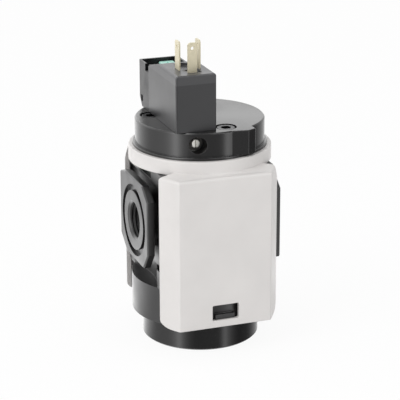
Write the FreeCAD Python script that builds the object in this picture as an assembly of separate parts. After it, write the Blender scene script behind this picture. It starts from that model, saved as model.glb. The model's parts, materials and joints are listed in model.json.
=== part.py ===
import FreeCAD, Part
import math
import os

from FreeCAD import Vector

# Solenoid-piloted 3/2 poppet valve for compressed air, with manifold flanges on both sides.
# Origin: centre of the bottom face. +Z up, front -Y, inlet on -X, outlet on +X.

# Heights of the stacked main pieces
PLUG_HEIGHT = 15.3
BASE_TOP = 35.4
BODY_TOP = 99.5
BAND_HEIGHT = 8.0
CAP_HEIGHT = 22.5

# Bottom plug
PLUG_RADIUS = 31.6
PLUG_EDGE = 0.8
SPIGOT_RADIUS = 18.0
SPIGOT_LENGTH = 15.7
EXHAUST_DEPTH = 12.0
PLUG_RING_CORD = 1.4
PLUG_RING_Z = 25.0

# Round base and faceted column of the valve body
BASE_RADIUS = 37.2
COLUMN_HALF_X = 31.2
GROOVE_BOTTOM = 45.5
GROOVE_TOP_ROOM = 1.0
GROOVE_FLOOR_X = 28.6
GROOVE_HALF_Y = 32.0
SCALLOP_DEPTH = 3.9
SCALLOP_RADIUS = 50.0
SIDE_POCKET_HALF_Y = 11.0
SIDE_POCKET_DROP = 6.1
SIDE_POCKET_HEIGHT = 3.6
SIDE_POCKET_DEPTH = 2.6

# Flange plates with their ports
PORT_Z = 67.6
FACE_HALF_X = 37.5
PLATE_THICKNESS = 4.0
PLATE_HALF_Y = 23.3
PLATE_BOTTOM = 45.5
PLATE_TOP = 91.0
PLATE_BEVEL = 0.6
PLATE_TOP_NEAR_CUT_Y = 8.8
PLATE_TOP_NEAR_CUT_Z = 6.7
PLATE_TOP_FAR_CUT_Y = 9.0
PLATE_TOP_FAR_CUT_Z = 2.4
PLATE_BOTTOM_NEAR_CUT_Y = 7.6
PLATE_BOTTOM_NEAR_CUT_Z = 9.5
PLATE_BOTTOM_FAR_CUT_Y = 10.5
PLATE_BOTTOM_FAR_CUT_Z = 7.6
BOSS_RADIUS = 15.5
PORT_RADIUS = 9.5
PORT_MOUTH_RADIUS = 10.6
PORT_MOUTH_DEPTH = 1.1
PORT_DEPTH = 14.0
RING_GROOVE_MEAN = 17.8
RING_GROOVE_WIDTH = 3.4
RING_GROOVE_DEPTH = 2.0

# Chambers in the body
CHAMBER_RADIUS = 15.5
SEAT_RADIUS = 11.0
SEAT_UNDERSIDE = 62.0
SEAT_THICKNESS = 4.0
PISTON_BORE_DROP = 9.5
PISTON_BORE_RISE = 8.5
PASSAGE_HALF_Y = 8.0
PASSAGE_INNER_X = 17.5
PASSAGE_OUTER_X = 24.0
WINDOW_INNER_X = 10.5
INLET_PASSAGE_BOTTOM = 44.0
INLET_WINDOW_TOP = 58.0
OUTLET_PASSAGE_TOP = 88.0
OUTLET_WINDOW_BOTTOM = 74.0

# Snap-on covers, front and rear alike
COVER_BOTTOM = 16.8
COVER_BASE_ROOM = 0.9
COVER_FRONT_HALF_X = 25.5
COVER_EDGE_HALF_X = 32.9
COVER_EDGE_Y = 29.0
COVER_WALL = 2.2
COVER_GAP = 0.2
COVER_CORNER_RADIUS = 4.5
COVER_SHOULDER_THICKNESS = 1.6
COVER_CREASE_ROUND = 1.2
BAND_WALL = 2.6
SEAM_GAP = 0.3
BAND_EDGE = 0.5
WINDOW_HALF_X = 7.4
WINDOW_CORNER = 0.8
WINDOW_BOTTOM = 20.6
WINDOW_HEIGHT = 8.6
CATCH_HALF_X = 5.4
CATCH_HEIGHT = 2.6
CATCH_REACH = 2.0

# Pilot cap
CAP_RADIUS = 34.5
CAP_SPIGOT_STEP = 0.5
CAP_BAND_ROOM = 0.5
CAP_LIP_OVERLAP = 0.4
CAP_LIP_HEIGHT = 1.5
CAP_RIM_WALL = 2.8
CAP_EDGE = 0.7
LUG_ANGLE = 24.7
LUG_RISE = 3.7
LUG_FLAT_START = -1.8
LUG_FLAT_END = 3.4
LUG_RAMP_FOOT = -9.0
LUG_END_FOOT = 5.0
LUG_CORNER = 1.0

# Socket-head screws of the cap
CAP_SCREW_ANGLES = (-78.2, 158.1, 75.0)
CAP_SCREW_RADIUS = 3.0
CAP_SCREW_HEAD_RADIUS = 5.0
CAP_SCREW_HEAD_HEIGHT = 6.0
CAP_SCREW_LENGTH = 30.0
SCREW_HEAD_EDGE = 0.4
CAP_SCREW_SINK = 0.3
CAP_RING_CORD = 1.4
CAP_RING_WIDTH = 1.8
CAP_RING_OUTER_LAND = 0.6
CAP_RING_INNER_LAND = 1.3
HEX_KEY_WIDTH = 5.0
HEX_KEY_DEPTH = 3.0
COUNTERBORE_RADIUS = 5.7
CLEARANCE_HOLE_RADIUS = 3.3

# Poppet with its hollow stem
STEM_RADIUS = 6.5
STEM_BORE_RADIUS = 4.3
STEM_BOTTOM = 16.0
STEM_TOP_RISE = 1.0
POPPET_RADIUS = 14.0
POPPET_DISC_HEIGHT = 5.6
POPPET_SEAL_HEIGHT = 2.4
POPPET_SEAL_RADIUS = 13.7
COLLAR_RADIUS = 10.5
COLLAR_BOTTOM = 78.0
COLLAR_HEIGHT = 2.0
STEM_RING_CORD = 1.7
STEM_RING_Z = 22.3

# Actuator piston
EXHAUST_LIFT = 1.5
NOSE_RADIUS = 6.8
NOSE_SEAL_HEIGHT = 2.0
PISTON_ROD_RADIUS = 7.5
PISTON_HEIGHT = 7.0
PISTON_BUMP_RADIUS = 6.0
PISTON_BUMP_HEIGHT = 0.7
PISTON_RING_CORD = 2.0

# Springs
POPPET_SPRING_MEAN = 10.5
POPPET_SPRING_WIRE = 1.8
POPPET_SPRING_TURNS = 3
PISTON_SPRING_MEAN = 9.1
PISTON_SPRING_WIRE = 1.4
PISTON_SPRING_TURNS = 3
OVERRIDE_SPRING_MEAN = 2.35
OVERRIDE_SPRING_WIRE = 0.4
OVERRIDE_SPRING_TURNS = 3
PLUNGER_SPRING_MEAN = 1.7
PLUNGER_SPRING_WIRE = 0.45
PLUNGER_SPRING_TURNS = 4

# Solenoid, lying along Y on the cap
COIL_X = -12.1
COIL_WIDTH = 22.0
COIL_FRONT = -29.1
COIL_REAR = 15.8
COIL_HEIGHT = 25.1
COIL_AXIS_HEIGHT = 12.5
COIL_CORNER = 0.8
PLATFORM_HEIGHT = 5.0
PLATFORM_REAR = -1.0
PLATFORM_ROUND = 1.6
WELL_HALF_X = 4.4
WELL_FRONT = -24.0
WELL_REAR = -2.4
WELL_DEPTH = 1.6
POTTING_WALL_X = 2.4
POTTING_WALL_Z = 2.1
FRONT_WALL = 2.5
YOKE_THICKNESS = 1.8
YOKE_WIDTH = 12.0
BOBBIN_RADIUS = 8.3
BOBBIN_WALL = 0.9
BOBBIN_FLANGE = 1.8
WINDING_RADIUS = 8.0
TUBE_RADIUS = 4.95
TUBE_WALL = 0.75
TUBE_CLEARANCE = 0.1
TUBE_FLANGE_RADIUS = 7.4
TUBE_FLANGE_THICKNESS = 1.8
CORE_LENGTH = 16.0
PLUNGER_STROKE = 0.9
PLUNGER_SEAL_RADIUS = 2.0
PLUNGER_SEAL_LENGTH = 2.0
PLUNGER_SEAL_PROUD = 1.0
PLUNGER_POCKET_RADIUS = 2.1
PLUNGER_POCKET_DEPTH = 6.0

# Connector blades on the platform
BLADE_X = -11.5
BLADE_WIDTH = 6.3
EARTH_BLADE_WIDTH = 5.0
BLADE_THICKNESS = 0.8
BLADE_RISE = 15.0
BLADE_ROOT = 4.0
BLADE_SPACING = 11.0
BLADE_HOLE_RADIUS = 0.85
BLADE_HOLE_DROP = 2.9
BLADE_TIP_CHAMFER = 1.0
POWER_BLADE_Y = -14.4
EARTH_BLADE_Y = -21.2
INSERT_Y = -12.9
INSERT_RADIUS = 2.2
INSERT_BORE_RADIUS = 1.25
INSERT_LENGTH = 4.0

# Pilot valve body behind the coil
PILOT_REAR = 31.9
PILOT_CUT_Y = 4.4
PILOT_CUT_Z = 6.0
PILOT_POCKET_DEPTH = 7.0
PILOT_POCKET_WALL = 1.1
PILOT_POCKET_FRONT = 18.0
PILOT_NOTCH_REAR = 21.3
PILOT_NOTCH_DEPTH = 3.8
PILOT_CHAMBER_RADIUS = 4.6
PILOT_CHAMBER_LENGTH = 3.6
NOZZLE_BASE_LENGTH = 1.8
NOZZLE_TIP_DISTANCE = 0.8
NOZZLE_TIP_RADIUS = 1.5
NOZZLE_ORIFICE_RADIUS = 0.6
SIDE_SLOT_Y = 26.2
SIDE_SLOT_LENGTH = 2.6
SIDE_SLOT_HEIGHT = 3.6
SIDE_SLOT_DEPTH = 0.8
SIDE_SLOT_RISE = 2.9
GASKET_THICKNESS = 0.8
GASKET_FRONT = 16.9
GASKET_REAR = 26.6
GASKET_HALF_X = 4.6
PILOT_SCREW_HALF_SPACING = 6.4
PILOT_SCREW_EDGE = 0.7
PILOT_SCREW_RADIUS = 1.5
PILOT_SCREW_HEAD_RADIUS = 2.7
PILOT_SCREW_HEAD_HEIGHT = 2.6
PILOT_SCREW_SEAT_DEPTH = 14.0
PILOT_SCREW_ENGAGEMENT = 6.5
PILOT_SCREW_KEY_WIDTH = 2.5
PILOT_SCREW_KEY_DEPTH = 1.3
AIR_HOLE_RADIUS = 1.0
OUTLET_AIR_Y = 19.0
SUPPLY_AIR_OFFSET_X = -1.5
SUPPLY_AIR_Y = 24.2

# Manual override button in the pilot valve's pocket
OVERRIDE_X = -8.8
OVERRIDE_Y = 24.7
OVERRIDE_WIDTH = 8.2
OVERRIDE_LENGTH = 9.8
OVERRIDE_SINK = 1.7
OVERRIDE_HEAD_HEIGHT = 3.9
OVERRIDE_CORNER = 0.8
OVERRIDE_EDGE = 0.4
OVERRIDE_STROKE = 1.2
OVERRIDE_STEM_RADIUS = 1.7
OVERRIDE_STEM_LENGTH = 8.0
OVERRIDE_RING_CORD = 0.7
OVERRIDE_RING_RISE = 1.5
OVERRIDE_SLOT_WIDTH = 0.9
OVERRIDE_SLOT_LENGTH = 6.0
OVERRIDE_SLOT_DEPTH = 0.8
OVERRIDE_SPRING_POCKET_RADIUS = 2.9
OVERRIDE_SPRING_POCKET_DEPTH = 3.0

# Flow adjusting screw in the front of the cap
ADJUSTER_X = -12.3
ADJUSTER_DROP = 6.5
ADJUSTER_MOUTH_RADIUS = 4.5
ADJUSTER_MOUTH_DEPTH = 8.3
ADJUSTER_HEAD_PROUD = 2.2
ADJUSTER_RADIUS = 2.15
ADJUSTER_SHANK_LENGTH = 17.4
ADJUSTER_NEEDLE_LENGTH = 3.6
ADJUSTER_NEEDLE_RADIUS = 1.55
ADJUSTER_NEEDLE_TIP = 0.4
ADJUSTER_SLOT_WIDTH = 0.7
ADJUSTER_SLOT_DEPTH = 1.0
ADJUSTER_RING_CORD = 1.1
ADJUSTER_RING_SETBACK = 3.8
GLAND_RADIUS = 4.0
GLAND_LENGTH = 10.0
ADJUSTER_CHAMBER_RADIUS = 2.55
ADJUSTER_CHAMBER_LENGTH = 8.2
BRANCH_AIR_SETBACK = 2.0

# Clearances, and the closeness at which two places count as one
RUNNING_FIT = 0.05
SLIP_FIT = 0.1
SAME = 1e-6

# Sealing rings and springs: the room that a groove gives its ring, and a spring's steps per turn
RING_ROOM = 1.2
SPRING_STEPS = 12


def block(x0, x1, y0, y1, z0, z1):
    """A box between two opposite corners."""
    return Part.makeBox(x1 - x0, y1 - y0, z1 - z0, Vector(x0, y0, z0))


def round_z(radius, z0, z1, x=0.0, y=0.0):
    """A cylinder standing on its end."""
    return Part.makeCylinder(radius, z1 - z0, Vector(x, y, z0), Vector(0, 0, 1))


def round_y(radius, y0, y1, x, z):
    """A cylinder lying front to back."""
    return Part.makeCylinder(radius, y1 - y0, Vector(x, y0, z), Vector(0, 1, 0))


def round_x(radius, x0, x1, y, z):
    """A cylinder lying left to right."""
    return Part.makeCylinder(radius, x1 - x0, Vector(x0, y, z), Vector(1, 0, 0))


def upright(edge):
    """True for a straight edge that stands vertical."""
    start = edge.Vertexes[0].Point
    end = edge.Vertexes[-1].Point
    return abs(start.z - end.z) > SAME and math.hypot(start.x - end.x, start.y - end.y) < SAME


def at_height(edge, z):
    """True for an edge that lies level at a height."""
    return abs(edge.CenterOfMass.z - z) < SAME and not upright(edge)


def prism(points, height):
    """A closed outline of points, raised along the height vector."""
    outline = Part.makePolygon(points + points[:1])
    return Part.Face(outline).extrude(height)


def o_ring(centre, axis, mean_radius, cord):
    """A rubber ring, its round section drawn square, as wide as the cord."""
    return groove(centre - axis * (cord / 2), axis, mean_radius - cord / 2, mean_radius + cord / 2, cord)


def ring_groove(centre, axis, inner, outer, cord):
    """The groove for a sealing ring, a little wider than the ring and centred on it."""
    width = cord * RING_ROOM
    return groove(centre - axis * (width / 2), axis, inner, outer, width)


def groove(centre, axis, inner, outer, length):
    """The ring-shaped space between two radii, starting at a centre and going along an axis."""
    outside = Part.makeCylinder(outer, length, centre, axis)
    inside = Part.makeCylinder(inner, length, centre, axis)
    return outside.cut(inside)


def coil_spring(mean_radius, wire, turns, z0, z1):
    """A square-wire compression spring standing between two faces, its coils in straight steps.

    At each step the wire's square is turned round the axis and raised, and each of its four
    sides is joined to the next step's by two triangles.
    """
    half = wire / 2
    corners = [(-half, -half), (half, -half), (half, half), (-half, half)]
    steps = turns * SPRING_STEPS
    squares = []
    for step in range(steps + 1):
        turn = 2 * math.pi * step / SPRING_STEPS
        z = z0 + half + (z1 - z0 - wire) * step / steps
        squares.append([
            Vector((mean_radius + u) * math.cos(turn), (mean_radius + u) * math.sin(turn), z + v)
            for u, v in corners
        ])
    faces = [flat_face(squares[0]), flat_face(squares[-1])]
    for here, there in zip(squares, squares[1:]):
        for i in range(4):
            k = (i + 1) % 4
            faces.append(flat_face([here[i], here[k], there[k]]))
            faces.append(flat_face([here[i], there[k], there[i]]))
    spring = Part.makeSolid(Part.makeShell(faces))
    if spring.Volume < 0:
        spring.reverse()
    return spring


def flat_face(points):
    """A flat face with the given corners."""
    return Part.Face(Part.makePolygon(points + points[:1]))


def save(name, shape):
    """Writes one sub-part to its own file."""
    shape.exportStep("parts/" + name + ".step")


# Places worked out from the driving sizes
groove_top = PLATE_TOP + GROOVE_TOP_ROOM
side_pocket_bottom = BODY_TOP - SIDE_POCKET_DROP
piston_bore_bottom = BODY_TOP - PISTON_BORE_DROP
piston_bore_top = BODY_TOP + PISTON_BORE_RISE
stem_top = piston_bore_bottom + STEM_TOP_RISE
band_top = BODY_TOP + BAND_HEIGHT
cap_lip_top = band_top + CAP_LIP_HEIGHT
cap_top = BODY_TOP + CAP_HEIGHT
adjuster_z = cap_top - ADJUSTER_DROP
cover_front_y = BASE_RADIUS + COVER_BASE_ROOM + COVER_WALL
column_inset = COVER_WALL + COVER_GAP
cap_spigot_radius = CAP_RADIUS + CAP_SPIGOT_STEP
band_inner_radius = cap_spigot_radius + CAP_BAND_ROOM
band_radius = band_inner_radius + BAND_WALL
cap_lip_radius = band_inner_radius + CAP_LIP_OVERLAP
lug_reach = CAP_RADIUS + LUG_RISE
cap_screw_circle = CAP_RADIUS - CAP_RIM_WALL - COUNTERBORE_RADIUS
cap_ring_mean = cap_screw_circle - CLEARANCE_HOLE_RADIUS - CAP_RING_OUTER_LAND - CAP_RING_WIDTH / 2
piston_bore_radius = cap_ring_mean - CAP_RING_WIDTH / 2 - CAP_RING_INNER_LAND
adjuster_mouth_floor = ADJUSTER_MOUTH_DEPTH - CAP_RADIUS
adjuster_head_y = adjuster_mouth_floor - ADJUSTER_HEAD_PROUD
adjuster_gland_rear = adjuster_mouth_floor + GLAND_LENGTH
adjuster_ring_y = adjuster_gland_rear + ADJUSTER_RING_SETBACK
adjuster_chamber_end = adjuster_gland_rear + ADJUSTER_CHAMBER_LENGTH
branch_air_y = adjuster_chamber_end - BRANCH_AIR_SETBACK
coil_z = cap_top + COIL_AXIS_HEIGHT
coil_left = COIL_X - COIL_WIDTH / 2
coil_right = COIL_X + COIL_WIDTH / 2
coil_top = cap_top + COIL_HEIGHT
platform_top = coil_top + PLATFORM_HEIGHT
insert_bottom = platform_top - WELL_DEPTH - INSERT_LENGTH
pilot_floor = coil_top - PILOT_POCKET_DEPTH
pilot_screw_seat = cap_top - PILOT_SCREW_SEAT_DEPTH
spigot_top = PLUG_HEIGHT + SPIGOT_LENGTH
poppet_disc_top = SEAT_UNDERSIDE - POPPET_SEAL_HEIGHT
poppet_disc_bottom = poppet_disc_top - POPPET_DISC_HEIGHT
piston_bottom = piston_bore_top - PISTON_BUMP_HEIGHT - PISTON_HEIGHT
nose_bottom = stem_top + EXHAUST_LIFT
tube_rear = COIL_REAR + TUBE_FLANGE_THICKNESS
chamber_rear = tube_rear + PILOT_CHAMBER_LENGTH
nozzle_front = chamber_rear - NOZZLE_BASE_LENGTH
yoke_front = COIL_FRONT + FRONT_WALL
core_front = yoke_front + YOKE_THICKNESS + BOBBIN_FLANGE
nozzle_tip = tube_rear + NOZZLE_TIP_DISTANCE
plunger_rear = nozzle_tip - PLUNGER_SEAL_PROUD
plunger_front = core_front + CORE_LENGTH + PLUNGER_STROKE
override_top = coil_top - OVERRIDE_SINK
override_bottom = override_top - OVERRIDE_HEAD_HEIGHT
override_stem_end = override_bottom - OVERRIDE_STEM_LENGTH
override_ring_z = override_stem_end + OVERRIDE_RING_RISE
override_spring_floor = pilot_floor - OVERRIDE_SPRING_POCKET_DEPTH
head_seat_z = cap_top - CAP_SCREW_SINK - CAP_SCREW_HEAD_HEIGHT


def facet_x(distance_y, inset):
    """Half width of the faceted cover outline at a distance from the middle, moved in by an inset.

    The slanted facet is a straight line through the cover's front corner and its edge. Moving
    it in by the inset shifts its distance from the axis by the same amount.
    """
    run_x = COVER_EDGE_HALF_X - COVER_FRONT_HALF_X
    run_y = cover_front_y - COVER_EDGE_Y
    length = math.hypot(run_x, run_y)
    normal_x = run_y / length
    normal_y = run_x / length
    reach = normal_x * COVER_FRONT_HALF_X + normal_y * cover_front_y - inset
    return (reach - normal_y * distance_y) / normal_x


def facet_y(half_x, inset):
    """Distance from the middle at which the inset facet reaches a half width."""
    high = facet_x(0, inset)
    slope = facet_x(0, inset) - facet_x(1, inset)
    return (high - half_x) / slope


def cover_outline(inset, z):
    """The front cover's outline, from its left edge round the front to its right edge."""
    front_y = cover_front_y - inset
    front_x = facet_x(front_y, inset)
    edge_x = facet_x(COVER_EDGE_Y, inset)
    return [
        Vector(-edge_x, -COVER_EDGE_Y, z),
        Vector(-front_x, -front_y, z),
        Vector(front_x, -front_y, z),
        Vector(edge_x, -COVER_EDGE_Y, z),
    ]


def column():
    """The eight-sided upper part of the body: two flat sides, and facets behind the covers."""
    front_y = cover_front_y - column_inset
    front_x = facet_x(front_y, column_inset)
    side_y = facet_y(COLUMN_HALF_X, column_inset)
    quarter = [(front_x, front_y), (COLUMN_HALF_X, side_y)]
    points = [Vector(x, y, BASE_TOP) for x, y in quarter]
    points += [Vector(x, -y, BASE_TOP) for x, y in reversed(quarter)]
    points += [Vector(-x, -y, BASE_TOP) for x, y in quarter]
    points += [Vector(-x, y, BASE_TOP) for x, y in reversed(quarter)]
    return prism(points, Vector(0, 0, BODY_TOP - BASE_TOP))


def plate_points(side):
    """The flange plate's outline, a square with corners cut off by unequal amounts.

    The outlet plate keeps its lower near corner. The inlet plate has all four cut.
    """
    x = side * (FACE_HALF_X - PLATE_THICKNESS)
    near = -PLATE_HALF_Y
    far = PLATE_HALF_Y
    corners = [
        (near, PLATE_TOP - PLATE_TOP_NEAR_CUT_Z), (near + PLATE_TOP_NEAR_CUT_Y, PLATE_TOP),
        (far - PLATE_TOP_FAR_CUT_Y, PLATE_TOP), (far, PLATE_TOP - PLATE_TOP_FAR_CUT_Z),
        (far, PLATE_BOTTOM + PLATE_BOTTOM_FAR_CUT_Z), (far - PLATE_BOTTOM_FAR_CUT_Y, PLATE_BOTTOM),
    ]
    if side < 0:
        corners.append((near + PLATE_BOTTOM_NEAR_CUT_Y, PLATE_BOTTOM))
        corners.append((near, PLATE_BOTTOM + PLATE_BOTTOM_NEAR_CUT_Z))
    else:
        corners.append((near, PLATE_BOTTOM))
    return [Vector(x, y, z) for y, z in corners]


def flange_plate(side):
    """A flat manifold flange with a fine bevel round its sealing face."""
    plate = prism(plate_points(side), Vector(side * PLATE_THICKNESS, 0, 0))
    face_x = side * FACE_HALF_X
    rim = [edge for edge in plate.Edges if all(abs(v.X - face_x) < SAME for v in edge.Vertexes)]
    return plate.makeChamfer(PLATE_BEVEL, rim)


def port_cuts(side):
    """The threaded port's bore and mouth, and the sealing ring's groove, of one side."""
    outward = Vector(side, 0, 0)
    face = Vector(side * FACE_HALF_X, 0, PORT_Z)
    bore = Part.makeCylinder(PORT_RADIUS, PORT_DEPTH, face, -outward)
    mouth = Part.makeCone(PORT_MOUTH_RADIUS, PORT_RADIUS, PORT_MOUTH_DEPTH, face, -outward)
    ring = groove(
        face, -outward, RING_GROOVE_MEAN - RING_GROOVE_WIDTH / 2,
        RING_GROOVE_MEAN + RING_GROOVE_WIDTH / 2, RING_GROOVE_DEPTH,
    )
    return [bore, mouth, ring]


def clamp_groove(side):
    """The gap behind a flange plate, all round the port boss, where a clamp takes hold."""
    outer_x = FACE_HALF_X - PLATE_THICKNESS
    gap = block(
        min(side * GROOVE_FLOOR_X, side * outer_x), max(side * GROOVE_FLOOR_X, side * outer_x),
        -GROOVE_HALF_Y, GROOVE_HALF_Y, GROOVE_BOTTOM, groove_top,
    )
    boss = round_x(BOSS_RADIUS, -FACE_HALF_X, FACE_HALF_X, 0, PORT_Z)
    return gap.cut(boss)


def wall_scallop(side):
    """The shallow hollow in the column's side under the flange plate, deepest in the middle."""
    x = side * (COLUMN_HALF_X - SCALLOP_DEPTH + SCALLOP_RADIUS)
    return round_z(SCALLOP_RADIUS, BASE_TOP, GROOVE_BOTTOM, x, 0)


def side_pocket(side):
    """The shallow core pocket in the body's side wall above the flange."""
    inner = COLUMN_HALF_X - SIDE_POCKET_DEPTH
    x0 = min(side * inner, side * (COLUMN_HALF_X + 1))
    x1 = max(side * inner, side * (COLUMN_HALF_X + 1))
    return block(x0, x1, -SIDE_POCKET_HALF_Y, SIDE_POCKET_HALF_Y,
                 side_pocket_bottom, side_pocket_bottom + SIDE_POCKET_HEIGHT)


def air_passages():
    """The two flow ways: inlet down to the lower chamber, outlet up to the upper chamber."""
    port_bottom = PORT_Z - PORT_RADIUS
    port_top = PORT_Z + PORT_RADIUS
    inlet = block(-PASSAGE_OUTER_X, -PASSAGE_INNER_X, -PASSAGE_HALF_Y, PASSAGE_HALF_Y,
                  INLET_PASSAGE_BOTTOM, port_top)
    inlet_window = block(-PASSAGE_INNER_X, -WINDOW_INNER_X, -PASSAGE_HALF_Y, PASSAGE_HALF_Y,
                         INLET_PASSAGE_BOTTOM, INLET_WINDOW_TOP)
    outlet = block(PASSAGE_INNER_X, PASSAGE_OUTER_X, -PASSAGE_HALF_Y, PASSAGE_HALF_Y,
                   port_bottom, OUTLET_PASSAGE_TOP)
    outlet_window = block(WINDOW_INNER_X, PASSAGE_INNER_X, -PASSAGE_HALF_Y, PASSAGE_HALF_Y,
                          OUTLET_WINDOW_BOTTOM, OUTLET_PASSAGE_TOP)
    return [inlet, inlet_window, outlet, outlet_window]


def cap_screw_places():
    """The middles of the cap's screws."""
    places = []
    for angle in CAP_SCREW_ANGLES:
        turn = math.radians(angle)
        places.append((cap_screw_circle * math.cos(turn), cap_screw_circle * math.sin(turn)))
    return places


def catch(side):
    """The snap catch on the body's base that the cover's window hooks over."""
    reach = BASE_RADIUS + CATCH_REACH
    y0 = min(side * (BASE_RADIUS - 2), side * reach)
    y1 = max(side * (BASE_RADIUS - 2), side * reach)
    z0 = WINDOW_BOTTOM + SLIP_FIT
    return block(-CATCH_HALF_X, CATCH_HALF_X, y0, y1, z0, z0 + CATCH_HEIGHT)


def valve_body():
    """The cast body: round base, faceted column, two flanges, two chambers and a seat between."""
    body = round_z(BASE_RADIUS, PLUG_HEIGHT, BASE_TOP).fuse(column())
    for side in (-1, 1):
        boss = round_x(BOSS_RADIUS, 0, FACE_HALF_X - PLATE_THICKNESS, 0, PORT_Z)
        if side < 0:
            boss = round_x(BOSS_RADIUS, -FACE_HALF_X + PLATE_THICKNESS, 0, 0, PORT_Z)
        body = body.fuse(boss).fuse(flange_plate(side)).fuse(catch(side))
    cuts = [
        round_z(SPIGOT_RADIUS + RUNNING_FIT, PLUG_HEIGHT, spigot_top),
        round_z(CHAMBER_RADIUS, spigot_top, SEAT_UNDERSIDE),
        round_z(SEAT_RADIUS, SEAT_UNDERSIDE, SEAT_UNDERSIDE + SEAT_THICKNESS),
        round_z(CHAMBER_RADIUS, SEAT_UNDERSIDE + SEAT_THICKNESS, piston_bore_bottom),
        round_z(piston_bore_radius, piston_bore_bottom, BODY_TOP),
        cap_ring_groove(),
    ]
    cuts += air_passages()
    for side in (-1, 1):
        cuts += port_cuts(side)
        cuts += [clamp_groove(side), wall_scallop(side), side_pocket(side)]
    for x, y in cap_screw_places():
        hole_bottom = head_seat_z - CAP_SCREW_LENGTH - 1
        cuts.append(round_z(CAP_SCREW_RADIUS + RUNNING_FIT, hole_bottom, BODY_TOP, x, y))
    return body.cut(cuts).removeSplitter()


def cap_ring_groove():
    """The groove in the body's top face for the cap's sealing ring."""
    depth = CAP_RING_CORD + RUNNING_FIT
    return groove(
        Vector(0, 0, BODY_TOP - depth), Vector(0, 0, 1), cap_ring_mean - CAP_RING_WIDTH / 2,
        cap_ring_mean + CAP_RING_WIDTH / 2, depth,
    )


def cap_o_ring():
    """The sealing ring between body and cap."""
    z = BODY_TOP - RUNNING_FIT - CAP_RING_CORD / 2
    return o_ring(Vector(0, 0, z), Vector(0, 0, 1), cap_ring_mean, CAP_RING_CORD)


def bottom_plug():
    """The round foot that screws up into the body: exhaust port below, stem guide above."""
    foot = round_z(PLUG_RADIUS, 0, PLUG_HEIGHT)
    foot = foot.makeChamfer(PLUG_EDGE, [e for e in foot.Edges if at_height(e, 0)])
    plug = foot.fuse(round_z(SPIGOT_RADIUS, PLUG_HEIGHT, spigot_top))
    mouth = Part.makeCone(PORT_MOUTH_RADIUS, PORT_RADIUS, PORT_MOUTH_DEPTH, Vector(0, 0, 0))
    stem_groove = ring_groove(
        Vector(0, 0, STEM_RING_Z), Vector(0, 0, 1), STEM_RADIUS,
        STEM_RADIUS + STEM_RING_CORD + SLIP_FIT, STEM_RING_CORD,
    )
    outer_groove = ring_groove(
        Vector(0, 0, PLUG_RING_Z), Vector(0, 0, 1), SPIGOT_RADIUS - PLUG_RING_CORD - SLIP_FIT,
        SPIGOT_RADIUS + 1, PLUG_RING_CORD,
    )
    return plug.cut([
        mouth,
        round_z(PORT_RADIUS, 0, EXHAUST_DEPTH),
        round_z(STEM_RADIUS + RUNNING_FIT, EXHAUST_DEPTH, spigot_top),
        stem_groove,
        outer_groove,
    ]).removeSplitter()


def plug_o_ring():
    """The sealing ring round the plug's spigot."""
    mean = SPIGOT_RADIUS - PLUG_RING_CORD / 2
    return o_ring(Vector(0, 0, PLUG_RING_Z), Vector(0, 0, 1), mean, PLUG_RING_CORD)


def stem_o_ring():
    """The ring in the plug that seals the sliding stem."""
    mean = STEM_RADIUS + RUNNING_FIT + STEM_RING_CORD / 2
    return o_ring(Vector(0, 0, STEM_RING_Z), Vector(0, 0, 1), mean, STEM_RING_CORD)


def front_cover():
    """The moulded front cover: flat face, two slanted facets, and half of the upper band."""
    shoulder_top = BODY_TOP + COVER_GAP + COVER_SHOULDER_THICKNESS
    shell = prism(cover_outline(0, COVER_BOTTOM), Vector(0, 0, shoulder_top - COVER_BOTTOM))
    creases = [e for e in shell.Edges if upright(e) and e.CenterOfMass.y < SAME - cover_front_y]
    shoulder = [e for e in shell.Edges
                if at_height(e, shoulder_top) and e.CenterOfMass.y < -COVER_EDGE_Y - SAME]
    shell = shell.makeFillet(COVER_CREASE_ROUND, creases + shoulder)
    inside = prism(cover_outline(COVER_WALL, COVER_BOTTOM), Vector(0, 0, BODY_TOP + COVER_GAP - COVER_BOTTOM))
    rounded = rounded_bottom_profile(shoulder_top)
    window = block(-WINDOW_HALF_X, WINDOW_HALF_X, -cover_front_y - 1, -BASE_RADIUS,
                   WINDOW_BOTTOM, WINDOW_BOTTOM + WINDOW_HEIGHT)
    corners = [e for e in window.Edges if abs(e.Vertexes[0].Y - e.Vertexes[1].Y) > SAME]
    window = window.makeFillet(WINDOW_CORNER, corners)
    shell = shell.common(rounded).cut([inside, window])
    band = round_z(band_radius, BODY_TOP + COVER_GAP, band_top)
    band = band.makeChamfer(BAND_EDGE, [e for e in band.Edges if at_height(e, band_top)])
    behind_seam = block(-band_radius - 1, band_radius + 1, -SEAM_GAP / 2, band_radius + 1,
                        BODY_TOP, band_top + 1)
    opening = round_z(band_inner_radius, BODY_TOP, band_top + 1)
    return shell.fuse(band.cut(behind_seam)).cut(opening).removeSplitter()


def rounded_bottom_profile(top):
    """The cover's front view: a rectangle with its two lower corners rounded."""
    half = COVER_EDGE_HALF_X
    r = COVER_CORNER_RADIUS
    y = -cover_front_y - 1
    low = COVER_BOTTOM
    dip = r * (1 - math.sqrt(0.5))
    edges = [
        Part.LineSegment(Vector(half, y, top), Vector(half, y, low + r)),
        Part.Arc(Vector(half, y, low + r), Vector(half - dip, y, low + dip), Vector(half - r, y, low)),
        Part.LineSegment(Vector(half - r, y, low), Vector(r - half, y, low)),
        Part.Arc(Vector(r - half, y, low), Vector(dip - half, y, low + dip), Vector(-half, y, low + r)),
        Part.LineSegment(Vector(-half, y, low + r), Vector(-half, y, top)),
        Part.LineSegment(Vector(-half, y, top), Vector(half, y, top)),
    ]
    outline = Part.Wire([edge.toShape() for edge in edges])
    return Part.Face(outline).extrude(Vector(0, cover_front_y, 0))


def rear_cover():
    """The rear cover, the same moulding turned half round."""
    cover = front_cover()
    cover.rotate(Vector(0, 0, 0), Vector(0, 0, 1), 180)
    return cover


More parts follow.
